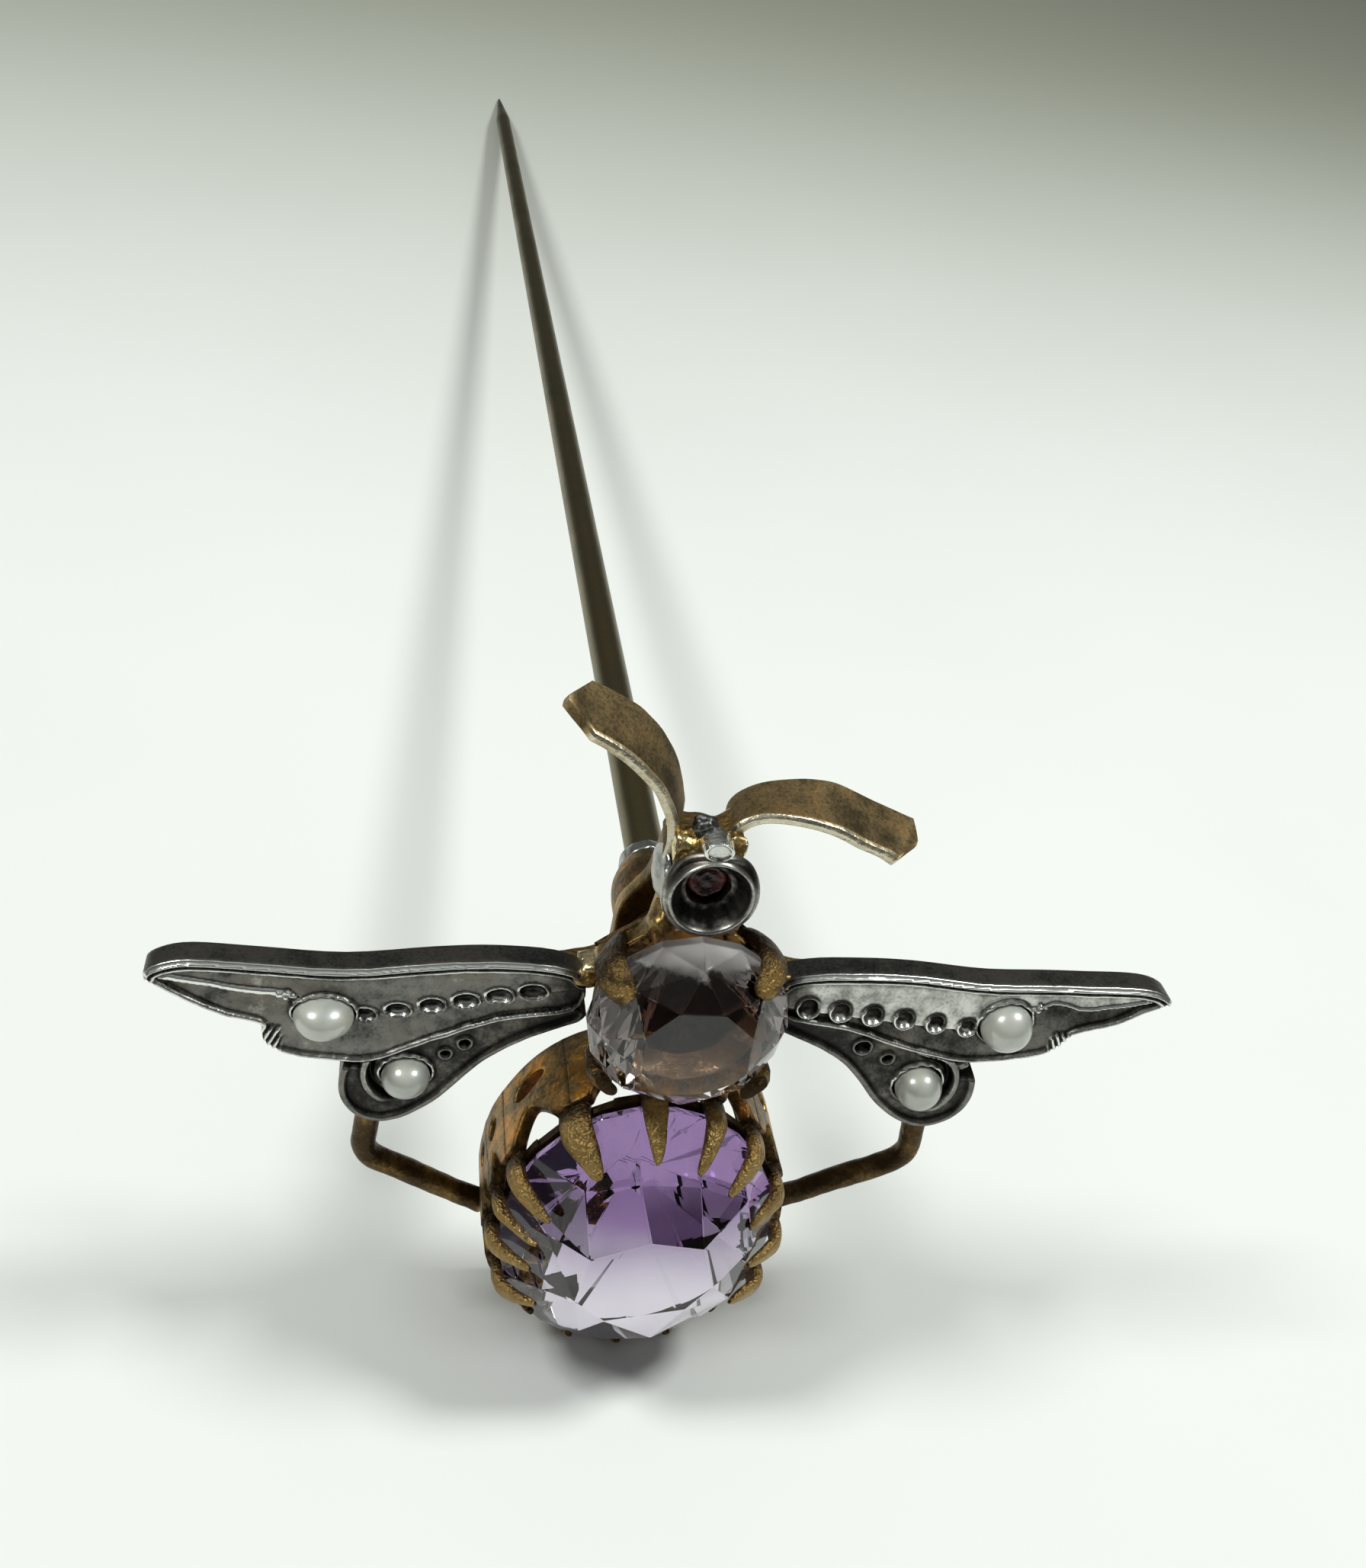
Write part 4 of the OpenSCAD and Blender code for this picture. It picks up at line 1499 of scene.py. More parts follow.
@dataclass
class Wings(Assembly):
    """Fore and hind wings with their worked fields, cups and half pearls.

    Attributes:
        back: Y of the wings' backs.
        pearl_floor: Y of the pearls' flat backs.
        forms: Each side's wings.
    """

    back: float = -7.5
    pearl_floor: float = -7.9
    forms: dict = field(default_factory=lambda: {
        Side.RIGHT: WingForm(
            fore=((3.0, 1.45), (3.9, 1.85), (5.6, 1.95), (7.3, 1.9), (9.8, 1.68), (12.4, 1.7), (14.2, 1.72),
                  (15.2, 1.58), (15.8, 1.22), (15.5, 0.98), (14.95, 0.72), (14.17, 0.26), (12.97, -0.13),
                  (12.7, -0.42), (12.45, -0.78), (11.9, -1.1), (10.65, -1.38), (9.35, -1.46), (7.4, -0.95),
                  (5.4, -0.25), (3.2, 0.25)),
            hind=((3.0, 0.2), (5.4, -0.2), (8.0, -1.0), (9.3, -1.4), (10.0, -2.0), (10.15, -2.8),
                  (10.0, -3.5), (9.5, -4.05), (8.65, -4.3), (7.8, -4.0), (6.9, -3.25), (6.2, -2.35),
                  (5.5, -1.6), (4.6, -1.0), (3.5, -0.45), (2.95, -0.15)),
            crease=((2.6, 0.68), (3.97, 0.43), (9.24, -0.2), (10.4, 0.1), (11.2, 0.72), (11.6, 0.84),
                    (11.9, 0.98), (12.4, 0.9), (12.95, 0.78), (14.3, 1.0), (15.1, 1.16), (15.9, 1.26)),
            cup_first=(3.97, 0.6), cup_step=(1.054, -0.126), fore_pearl=(10.46, 0.14, 0.82, 0.8),
            hind_pearl=(8.17, -2.46, 0.76, 0.74), hind_cups=((6.05, -0.98, 0.25), (6.95, -1.42, 0.18)),
            fields=(0.64, 0.28), ridge=0.25, seed=21),
        Side.LEFT: WingForm(
            fore=((3.0, 1.45), (3.9, 1.9), (5.6, 1.98), (7.4, 1.84), (9.9, 1.54), (12.3, 1.66), (14.15, 1.72),
                  (15.05, 1.5), (15.45, 1.12), (15.0, 0.72), (14.19, 0.2), (13.2, -0.27), (12.25, -0.52),
                  (12.2, -0.85), (12.05, -1.3), (11.4, -1.68), (10.3, -1.84), (9.0, -1.85), (7.4, -1.1),
                  (5.4, -0.25), (3.2, 0.25)),
            hind=((3.0, 0.2), (5.4, -0.2), (8.0, -1.2), (9.2, -1.55), (9.8, -2.1), (9.95, -2.9), (9.8, -3.6),
                  (9.35, -4.15), (8.6, -4.35), (7.8, -4.05), (6.9, -3.3), (6.2, -2.4), (5.5, -1.65),
                  (4.6, -1.02), (3.5, -0.45), (2.95, -0.15)),
            crease=((2.6, 1.1), (4.55, 0.76), (9.3, -0.26), (10.3, 0.05), (11.2, 0.52), (11.75, 0.56),
                    (12.3, 0.6), (12.95, 0.68), (14.0, 0.86), (14.8, 1.0), (15.5, 1.1)),
            cup_first=(4.45, 0.92), cup_step=(0.97, -0.2), fore_pearl=(10.44, -0.08, 0.86, 0.62),
            hind_pearl=(7.98, -2.39, 0.72, 0.62), hind_cups=((6.3, -1.2, 0.17), (6.85, -1.62, 0.15)),
            fields=(0.42, 0.38), ridge=1.0, seed=131, crest=1.0, cup_squash=0.62),
    })

    def _pearl(self, name: str, side: Side, pearl: tuple, front: float, seed: int) -> None:
        """Makes a half pearl.

        Args:
            name: The pearl's name.
            side: Which side it is on.
            pearl: Centre, half width and half height.
            front: Y of the wing's front.
            seed: Which irregularity it has.
        """
        r = pearl[2]
        low = math.asin((self.pearl_floor - front) / r)
        arc = np.linspace(-math.pi / 2, low, 40)
        profile = [(max(r * math.cos(a), 1e-4), front + r * math.sin(a)) for a in arc]
        verts, faces = lathe(profile, (0.0, 0.0), 64)
        verts = verts * np.array([1, 1, pearl[3] / r]) + np.array([pearl[0], 0, pearl[1]])
        out = verts - np.array([pearl[0], front, pearl[1]])
        verts = verts + out * (0.018 * Ripple(seed, 1.1).at(verts))[:, None]
        verts[:, 1] = np.minimum(verts[:, 1], self.pearl_floor)
        thing = raw_object(f"{name}_{side.word}_nacre", mirrored((verts, faces), side))
        settle(thing, self.palette.pearl, [f"{name}_{side.word}"], 0.5, 0.0, 50)

    def build(self) -> None:
        """Builds both wings on both sides."""
        rails = (0.13, 0.17, 0.23, 0.27, 0.33, 0.4)
        for side, form in self.forms.items():
            fore, hind = (catmull(loop, STEPS_ON_WING, True) for loop in (form.fore, form.hind))
            plates = {
                "forewing": Plate([fore], self.back, 0.05, 0.1, 7, 0.042, form.fore_detail,
                                  rails).build(form.fore_front),
                "hindwing": Plate([hind], self.back, 0.07, 0.09, 6, 0.05,
                                  form.hind_detail).build(form.hind_front),
            }
            for name, (shell, polish_and_painted_light) in plates.items():
                verts = shell[0].copy()
                if name == "hindwing":
                    gap = distance_to(verts[:, [0, 2]], fore, True)
                    under = inside(verts[:, [0, 2]], inset(counter_clockwise(fore), 0.02))
                    verts[under, 1] = np.maximum(verts[under, 1], form.front + 0.45 - 0.1 * gap[under])
                verts[:, 1] += 0.03 * Ripple(40 + side.value, 5.0).at(verts)
                thing = raw_object(f"{name}_{side.word}_plate", mirrored((verts, shell[1]), side))
                settle(thing, self.palette.silver, [f"{name}_{side.word}"], polish_and_painted_light, 0.8)
            self._pearl("forewing_pearl", side, form.fore_pearl, form.front, 50 + side.value)
            self._pearl("hindwing_pearl", side, form.hind_pearl, form.front, 54 + side.value)


def finger(path: Sequence, sides: int = 14) -> Shell:
    """Lofts a claw or lump along a path in its own plane.

    Args:
        path: Rows of (out, y, width, thickness): the middle of the section and its size.
        sides: Points round the section.

    Returns:
        The shell, with X across, Y along the row's Y and Z outwards.
    """
    rows = catmull(path, 4, False)
    turn = np.arange(sides) * 2 * math.pi / sides
    cross, through = np.cos(turn), np.sin(turn)
    cross = np.sign(cross) * np.abs(cross) ** 0.75
    through = np.sign(through) * np.abs(through) ** 0.8
    rings = []
    for k, (out, y, wide, thick) in enumerate(rows):
        a, b = rows[max(k - 1, 0)], rows[min(k + 1, len(rows) - 1)]
        way = np.array([b[0] - a[0], b[1] - a[1]])
        way /= max(np.linalg.norm(way), 1e-9)
        side = np.array([-way[1], way[0]])
        rings.append(np.stack([cross * wide / 2, y + through * side[1] * thick / 2,
                               out + through * side[0] * thick / 2], axis=1))
    return loft(rings)


@dataclass(frozen=True)
class Cut:
    """A faceted stone, as rings of corners from its table to its culet.

    Attributes:
        rings: Rows of (shares of half width and half height, y, corners, turn as a share of one step).
        half: Half width and half height at the girdle.
        centre: X and Z of its middle.
        dark: X and z near the middle of each facet that is painted darker, as shade and dark reflections in
            the stone, and how dark it is painted.
        corners: Single corners of an uneven cut: x, z and y.
    """

    rings: Sequence
    half: tuple[float, float]
    centre: tuple[float, float]
    dark: Sequence = ()
    corners: Sequence = ()

    def build(self, name: str, seed: int) -> Thing:
        """Makes the stone as the convex hull of its corners.

        Args:
            name: The piece's name.
            seed: Which small irregularities of hand cutting it has.

        Returns:
            The object.
        """
        rng = np.random.default_rng(seed)
        points = [(x, y, z) for x, z, y in self.corners]
        for wide, high, y, corners, turn in self.rings:
            for k in range(corners):
                a = 2 * math.pi * (k + turn) / corners
                off = rng.uniform(-0.03, 0.03, 2) if 0.2 < wide < 1 else np.zeros(2)
                points.append((self.centre[0] + self.half[0] * (wide + off[0]) * math.cos(a), y,
                               self.centre[1] + self.half[1] * (high + off[1]) * math.sin(a)))
        mesh = bpy.data.meshes.new(name)
        work = bmesh.new()
        for p in points:
            work.verts.new(Vector(p) * MM)
        hull = bmesh.ops.convex_hull(work, input=work.verts)
        loose = [v for v in hull["geom_interior"] + hull["geom_unused"] if isinstance(v, bmesh.types.BMVert)]
        bmesh.ops.delete(work, geom=loose, context="VERTS")
        least = math.radians(4)
        bmesh.ops.dissolve_limit(work, angle_limit=least, verts=work.verts, edges=work.edges)
        edges = [e for e in work.edges if len(e.link_faces) == 2 and e.calc_face_angle() > least]
        bmesh.ops.bevel(work, geom=edges, offset=0.02 * MM, segments=1, profile=0.5, affect="EDGES")
        bmesh.ops.recalc_face_normals(work, faces=work.faces)
        work.to_mesh(mesh)
        work.free()
        tone = mesh.attributes.new("facet", "FLOAT", "FACE")
        tone.data.foreach_set("value", self._tones(mesh))
        return placed(name, mesh)

    def _tones(self, mesh: bpy.types.Mesh) -> Array:
        """Tells how much of each facet's colour is left unshaded: the chosen facets are painted dark, as
        shade and dark reflections in the stone.

        Args:
            mesh: The cut stone.

        Returns:
            For each facet, 1 for its own colour and less where painted shade takes over.
        """
        tones = np.ones(len(mesh.polygons))
        least = 0.012 * MM * MM * self.half[0] * self.half[1]
        fronts = [face for face in mesh.polygons if face.area > least and face.normal.y < -0.1]
        for x, z, depth in self.dark:
            spot = Vector((x * MM, z * MM))
            chosen = min(fronts, key=lambda face: (face.center.xz - spot).length)
            tones[chosen.index] = 1.0 - depth
        return tones


@dataclass
class Thorax(Assembly):
    """The round pale stone in its four heavy claws.

    Attributes:
        centre: X and Z of the stone's middle.
        radius: Radius of its girdle.
        claws: A claw's path: distance from the middle, y, width and thickness.
        yoke: Outline of the skirt of solder at the neck.
    """

    centre: tuple = (0.0, 1.0)
    radius: float = 3.0
    claws: Sequence = (
        (2.35, -7.5, 0.55, 0.3), (2.7, -8.1, 0.8, 0.42), (3.02, -8.7, 0.95, 0.5), (3.2, -9.3, 1.0, 0.5),
        (3.2, -9.8, 1.0, 0.48), (3.0, -10.2, 0.95, 0.42), (2.76, -10.45, 0.86, 0.36),
        (2.58, -10.6, 0.66, 0.26), (2.5, -10.64, 0.3, 0.12),
    )
    yoke: Sequence = (
        (-2.8, 1.9), (-2.75, 2.4), (-1.95, 2.75), (-1.4, 3.4), (-1.2, 4.7), (1.0, 4.7), (1.1, 3.3),
        (1.45, 2.95), (2.1, 2.95), (2.55, 2.4), (2.6, 1.9), (2.0, 2.5), (1.0, 3.3), (-1.0, 3.3), (-2.1, 2.5),
    )

    def build(self) -> None:
        """Builds stone, collet and claws."""
        # The third row lists facets that are painted dark, as shade in the stone's middle.
        cut = Cut(((0.56, 0.56, -11.1, 8, 0.5), (0.86, 0.86, -10.45, 8, 0.0), (1.0, 1.0, -9.7, 16, 0.0),
                   (1.0, 1.0, -9.4, 16, 0.0), (0.5, 0.5, -8.0, 8, 0.5), (0.06, 0.06, -7.05, 4, 0.0)),
                  (self.radius, self.radius), self.centre,
                  ((0.0, 1.0, 0.85), (-0.7, 2.75, 1.0), (0.7, 2.75, 1.0), (-1.6, 2.3, 1.0), (1.6, 2.3, 0.9),
                   (0.0, 2.5, 1.0), (-2.1, 1.5, 0.5)))
        settle(cut.build("thorax_stone_cut", 5), self.palette.pale, ["thorax_stone"], 0.5, 0.0, 0)
        ring = rounded([(2.05, -8.5), (2.75, -8.5), (2.1, -7.4), (1.7, -6.1), (1.38, -6.1), (1.38, -7.9)],
                       0.1, 3, True)
        verts, faces = lathe(ring, self.centre, 96, hollow=True)
        verts = verts + 0.02 * np.stack([Ripple(61, 1.2).at(verts)] * 3, 1)
        shell = raw_object("thorax_collet_cone", (verts, faces))
        depth = verts[:, 1]
        rho = np.hypot(verts[:, 0] - self.centre[0], verts[:, 2] - self.centre[1])
        hollow = (rho < 1.45) | ((rho < 2.1) & (depth < -7.8))
        settle(shell, self.palette.orange_gilt, ["thorax_collet"], np.where(hollow, 0.65, 0.22))
        rows = (("thorax_claws_upper", self.claws, 48.0, 94.0),
                ("thorax_claws_lower", self.claws[:6], 222.0, 96.0))
        for name, path, phase, step in rows:
            claw = raw_object(name, finger([(o - self.radius, y, w, t) for o, y, w, t in path], 20))
            run_tree(claw, self.shapers.oval_row, {
                "Count": 2, "Pitch": math.radians(step) * self.radius * MM, "Step Angle": math.radians(step),
                "Half Width": self.radius * MM, "Half Height": self.radius * MM,
                "Centre": (self.centre[0] * MM, 0.0, self.centre[1] * MM), "Phase": math.radians(phase),
                "Unevenness": 0.00032, "Waves": 1500.0, "Finish": self.palette.hammered_gilt})
            rubbed = rise(vertex_places(claw)[:, 1], -9.4, -10.2)
            settle(claw, self.palette.hammered_gilt, (), 0.26 + 0.25 * rubbed)
        self._yoke()

    def _yoke(self) -> None:
        """Joins neck, claws and wing roots with a skirt of gilt solder."""
        outline = np.array(rounded(self.yoke, 0.3, 4, True))

        def face(spots: Array) -> Front:
            """A sloping lumpy front with uneven brightness."""
            lump = 0.1 * Ripple(63, 0.9).at(spots) + 0.04 * Ripple(64, 0.35).at(spots)
            return -8.95 + 0.1 * spots[:, 1] + lump, 0.3 + 0.25 * Ripple(65, 0.7).at(spots)

        shell, polish_and_painted_light = Plate([outline], -7.7, 0.28, 0.12, 2).build(face)
        settle(raw_object("neck_yoke", shell), self.palette.gilt, (), polish_and_painted_light, 1.6)


@dataclass
class Abdomen(Assembly):
    """The large oval stone in its pierced gallery.

    Attributes:
        centre: X and Z of the stone's middle.
        half: Half width and half height of its girdle.
        claw_count: Claws and bays all round.
        wall: Thickness of the pierced wall.
        back: Y of the gallery's back.
        bay: Width of one bay.
        spread: How far the bays move apart at the upper left, as an angle.
        claw: A full claw's path: distance outside the girdle, y, width and thickness.
        crown: Corners of the uneven crown: x, z and y.
        painted_dark_facets: X, z and darkness of the facets that are painted dark, as shade and dark
            reflections.
        stub: A short claw's path.
    """

    centre: tuple = (-0.4, -7.75)
    half: tuple = (4.4, 5.3)
    claw_count: int = 16
    wall: float = 0.5
    back: float = -6.1
    bay: float = 2.0
    spread: float = 0.31
    claw: Sequence = (
        (0.0, -7.9, 0.5, 0.3), (0.06, -8.5, 0.72, 0.42), (0.14, -9.1, 0.76, 0.46), (0.2, -9.65, 0.74, 0.46),
        (0.1, -10.1, 0.72, 0.42), (-0.18, -10.44, 0.66, 0.36), (-0.5, -10.74, 0.54, 0.3),
        (-0.8, -11.0, 0.38, 0.22), (-0.96, -11.12, 0.16, 0.1),
    )
    crown: Sequence = (
        (-0.46, -5.58, -12.15), (-2.24, -6.35, -12.1), (-2.5, -8.2, -12.1), (-1.5, -9.1, -12.1),
        (1.0, -8.6, -12.1), (1.73, -7.6, -12.1), (1.2, -5.9, -12.1), (-3.5, -6.4, -11.0), (-2.5, -4.6, -11.0),
        (-0.9, -4.1, -11.15), (1.0, -4.3, -11.05), (2.6, -5.0, -11.0), (3.1, -7.0, -11.0), (2.7, -9.4, -11.0),
        (0.4, -11.3, -11.0), (-2.0, -10.9, -11.0), (-3.4, -9.0, -11.0),
    )
    painted_dark_facets: Sequence = ((-2.7, -5.7, 0.9), (-1.5, -5.2, 0.2), (0.2, -4.9, 1.0), (1.7, -5.2, 0.6),
                             (-1.6, -3.6, 0.5), (0.9, -3.3, 0.7), (-3.2, -5.0, 0.8), (2.6, -6.3, 0.2),
                             (2.2, -3.8, 0.4))
    stub: Sequence = (
        (0.0, -7.9, 0.5, 0.3), (0.04, -8.5, 0.62, 0.34), (0.06, -9.1, 0.6, 0.34), (0.02, -9.55, 0.5, 0.28),
        (-0.08, -9.8, 0.26, 0.14),
    )

    def _bay(self) -> Shell:
        """One bay of the pierced wall, with a gothic arch at its front and an oval hole."""
        half = self.bay / 2
        arch = [(half + 0.03, 3.0), (0.62, 2.95), (0.5, 2.7), (0.36, 2.42), (0.18, 2.12), (0.0, 1.92)]
        right = catmull(arch, 5, False)
        left = right[::-1] * np.array([-1, 1])
        outline = np.vstack([[(-half - 0.03, 0.0), (half + 0.03, 0.0)], right, left[1:]])
        turn = np.linspace(0, 2 * math.pi, 28, endpoint=False)
        lean = 0.25
        hole = np.stack([0.44 * np.cos(turn), 0.98 + 0.36 * np.sin(turn) + lean * 0.44 * np.cos(turn)], 1)

        def face(spots: Array) -> Front:
            """The wall's outer face, flat."""
            return np.full(len(spots), -self.wall), np.full(len(spots), 0.3)

        (verts, faces), _ = Plate([outline, hole], 0.0, 0.08, 0.12, 2).build(face)
        return np.stack([verts[:, 0], self.back - verts[:, 2], -verts[:, 1]], 1), faces

    def _row(self, name: str, shell: Shell, count: int, phase: float, uneven: float,
             waves: float) -> Thing:
        """Repeats a shell round the oval.

        Args:
            name: The piece's name.
            shell: One bay or claw.
            count: How many there are.
            phase: Angle of the first, in degrees.
            uneven: Unevenness in millimetres.
            waves: Its waves for each metre.

        Returns:
            The piece, not yet dressed.
        """
        thing = raw_object(name, shell)
        return run_tree(thing, self.shapers.oval_row, {
            "Count": count, "Pitch": self.bay * MM, "Step Angle": 2 * math.pi / self.claw_count,
            "Half Width": self.half[0] * MM, "Half Height": self.half[1] * MM,
            "Centre": (self.centre[0] * MM, 0.0, self.centre[1] * MM), "Phase": math.radians(phase),
            "Spread": self.spread, "Unevenness": uneven * MM, "Waves": waves,
            "Finish": self.palette.gilt})

    def build(self) -> None:
        """Builds stone, wall and claws, and dresses the hidden rings."""
        cut = Cut(((1.0, 1.0, -9.7, 24, 0.5), (1.0, 1.0, -9.5, 24, 0.5), (0.62, 0.62, -8.3, 11, 0.3),
                   (0.1, 0.1, -6.8, 5, 0.5)), self.half, self.centre, self.painted_dark_facets, self.crown)
        settle(cut.build("abdomen_stone_cut", 8), self.palette.amethyst, ["abdomen_stone"],
               0.5, 0.0, 0)
        step = 360 / self.claw_count
        wall = self._row("gallery_wall", self._bay(), self.claw_count, 90 + step / 2, 0.1, 700.0)
        settle(wall, self.palette.orange_gilt, ["abdomen_gallery"], 0.36, 1.8)
        upper = self._row("gallery_claws_upper", finger(self.claw), 11, 90 - 5 * step, 0.3, 520.0)
        lower = self._row("gallery_claws_lower", finger(self.stub), 5, 90 + 6 * step, 0.15, 520.0)
        for row in (upper, lower):
            rubbed = rise(vertex_places(row)[:, 1], -9.2, -9.9)
            settle(row, self.palette.hammered_gilt, (), 0.3 + 0.35 * rubbed, 1.8)
        for name in ("abdomen_seat", "abdomen_base_ring"):
            self.nodes[name].data.materials.clear()
            self.nodes[name].data.materials.append(self.palette.gilt)


@dataclass
class Legs(Assembly):
    """The bent gilt wires from the hindwings to the gallery.

    Attributes:
        radius: Radius of the wire.
        depth: Y of its middle.
        top: X and Z of its end at the hindwing.
        knee: X and Z of its bend.
        foot_z: Z of its end at the gallery.
        half_abdomen: Distance of that end from the abdomen's middle.
        abdomen_x: X of the abdomen's middle.
    """

    radius: float = 0.39
    depth: float = -7.11
    top: tuple = (8.9, -3.3)
    knee: tuple = (9.15, -6.9)
    foot_z: float = -9.2
    half_abdomen: float = 4.75
    abdomen_x: float = -0.4

    def build(self) -> None:
        """Builds both wires."""
        for side in Side:
            s = side.value
            foot = (self.abdomen_x + s * self.half_abdomen, self.foot_z)
            corners = [(s * self.top[0], self.top[1]), (s * self.knee[0], self.knee[1]), foot]
            thing = polyline(f"leg_wire_{side.word}_bent", [(x, self.depth, z) for x, z in corners])
            run_tree(thing, self.shapers.wire, {"Radius": self.radius * MM, "Bend": 0.0009, "Step": 0.00012,
                                                "Sides": 24, "Unevenness": 0.00014,
                                                "Finish": self.palette.gilt})
            down = rise(vertex_places(thing)[:, 2], -4.2, -5.6)
            settle(thing, self.palette.gilt, [f"leg_wire_{side.word}"], 0.36 - 0.3 * down)


@dataclass
class Head(Assembly):
    """The empty cup, its peg and cement, the saddle and the two antenna strips.

    Attributes:
        z: Z of the cup's axis.
        peg_z: Z of the peg's axis in the CAD.
        thick: Thickness of the strips.
        left_front: X and Z along the left strip's front edge.
        left_back: The same of its back edge.
        left_tip: Middle of its rounded end.
        right_front: X and Z along the right strip's front edge.
        right_back: The same of its back edge.
        right_tip: Middle of its rounded end.
    """

    z: float = 5.45
    peg_z: float = 7.07
    thick: float = 0.33
    left_front: Sequence = (
        (-1.16, 5.95), (-1.13, 6.55), (-1.28, 7.31), (-1.64, 8.04), (-2.05, 8.51), (-2.68, 9.08),
        (-3.3, 9.5), (-3.74, 9.74),
    )
    left_back: Sequence = (
        (-0.98, 6.1), (-0.76, 6.81), (-0.92, 7.57), (-1.19, 8.35), (-1.68, 9.14), (-2.36, 9.8),
        (-3.13, 10.24), (-3.75, 10.5),
    )
    left_tip: tuple = (-4.6, -7.85, 10.5)
    right_front: Sequence = (
        (0.72, 6.2), (0.67, 7.01), (1.3, 7.41), (2.27, 7.39), (3.48, 7.09), (4.33, 6.69), (5.02, 6.4),
        (5.4, 6.16),
    )
    right_back: Sequence = (
        (0.8, 6.4), (0.83, 6.99), (1.3, 7.44), (2.23, 7.73), (3.46, 7.76), (4.58, 7.33), (5.6, 6.9),
        (6.22, 6.66),
    )
    right_tip: tuple = (6.25, -7.75, 6.28)

    def _cup(self) -> None:
        """Turns the silver cup with its lip, worn bead and seat, painted darker inside and on the two bevels,
        as shade, and the dark cement in its seat.
        """
        profile = rounded([
            (0.001, -6.1), (0.5, -6.1), (0.9, -7.2), (1.05, -8.0), (1.28, -9.0), (1.4, -9.25),
            (1.42, -9.42), (1.36, -9.55), (1.27, -9.58), (1.2, -9.66), (1.13, -9.64), (1.06, -9.48),
            (0.8, -9.06), (0.64, -9.0), (0.6, -8.8), (0.58, -8.5), (0.001, -8.5),
        ], 0.05, 3)
        verts, faces = lathe(profile, (0.0, self.z), 120)
        flat = verts[:, [0, 2]] - np.array([0.0, self.z])
        rho, turn = np.hypot(flat[:, 0], flat[:, 1]), np.arctan2(flat[:, 1], flat[:, 0])
        bevel = np.exp(-((turn - 0.75) / 0.42) ** 2) + np.exp(-((turn - 2.3) / 0.5) ** 2)
        outer = rise(rho, 1.18, 1.26) * rise(verts[:, 1], -9.2, -9.35)
        verts[:, 1] += 0.22 * bevel * outer
        seat = rise(rho, 1.1, 1.0) * rise(verts[:, 1], -8.7, -9.0)
        verts[:, 1] += 0.03 * seat * Ripple(71, 0.35).at(verts)
        verts[:, [0, 2]] *= 1 + 0.008 * Ripple(72, 1.2).at(verts)[:, None] * np.array([1, 0])
        # Painted shade: the inside and the two bevels are darker.
        polish_and_painted_light = np.where(rho < 1.1, 0.3, 0.5) - 0.35 * bevel * outer
        settle(raw_object("head_cup_silver", (verts, faces)), self.palette.silver, ["head_cup"],
               polish_and_painted_light, 1.6)
        blob = [(0.001, -8.3), (0.6, -8.35), (0.6, -8.62), (0.48, -8.78), (0.33, -8.72), (0.2, -8.66),
                (0.001, -8.7)]
        verts, faces = lathe(rounded(blob, 0.08, 2), (0.0, self.z), 48)
        verts[:, 1] += 0.06 * Ripple(73, 0.5).at(verts)
        settle(raw_object("head_cement_old", (verts, faces)), self.palette.cement,
               ["head_cement"], 0.5, 0.0)

    def _peg(self) -> None:
        """Turns the silver peg with its dished end."""
        profile = rounded([(0.001, -8.7), (0.42, -8.7), (0.44, -9.3), (0.4, -9.56), (0.32, -9.55),
                           (0.28, -9.5), (0.001, -9.5)], 0.05, 3)
        verts, faces = lathe(profile, (0.0, 0.0), 48)
        verts = verts * np.array([1.05, 1.0, 0.74]) + np.array([0.0, 0.0, self.peg_z - 0.1])
        verts[:, [0, 2]] += 0.02 * np.stack([Ripple(74, 0.6).at(verts), Ripple(75, 0.6).at(verts)], 1)
        settle(raw_object("head_peg_silver", (verts, faces)), self.palette.solder, ["head_peg"],
               0.7, 1.6)

    def _strip(self, name: str, front_edge: Sequence, back_edge: Sequence, tip: tuple, y_back: float,
               flip: bool, node: str) -> None:
        """Sweeps a flat strip between its front and back edges.

        Args:
            name: The piece's name.
            front_edge: X and Z of the front edge.
            back_edge: X and Z of the back edge, with as many points.
            tip: Middle of the rounded end.
            y_back: Y of the back edge at the strip's middle.
            flip: Whether the polished edge is bevelled on the other side.
            node: The CAD node it stands for.
        """
        front, back = catmull(front_edge, 7, False), catmull(back_edge, 7, False)
        count = len(front)
        half, bevel, front_y = self.thick / 2, 0.09, -8.5
        rings = []
        ends = [0.0] * count + [0.3, 0.55, 0.75, 0.88]
        for k, end in enumerate(ends):
            at = min(k, count - 1)
            f = np.array([front[at, 0], front_y, front[at, 1]])
            b = np.array([back[at, 0], y_back, back[at, 1]])
            f, b = f + (np.array(tip) - f) * end, b + (np.array(tip) - b) * end ** 1.5
            near, far = max(at - 1, 0), min(at + 1, count - 1)
            way = np.append(front[far] - front[near] + back[far] - back[near], 0)[[0, 2, 1]]
            across = b - f
            across /= np.linalg.norm(across)
            up = np.cross(way / np.linalg.norm(way), across)
            up /= np.linalg.norm(up)
            width = max(float(np.linalg.norm(b - f)), 0.25)
            section = rounded([(0, half - bevel), (bevel, half), (0.16, half), (0.24, half),
                               (width - 0.05, half), (width, half - 0.05), (width, 0.05 - half),
                               (width - 0.05, -half), (0.24, -half), (0.16, -half), (bevel * 0.6, -half),
                               (0, bevel * 0.6 - half)], 0.02, 2, True)
            rings.append([f + across * u + up * v * (-1 if flip else 1) for u, v in section])
        verts, faces = loft(rings)
        verts = shaken(verts, 0.012, 80, 0.9)
        front_most = rise(verts[:, 1], -8.34, -8.43)
        settle(raw_object(name, (verts, faces)), self.palette.strip_gilt, [node],
               0.24 + 0.42 * front_most, 0.9, 38)

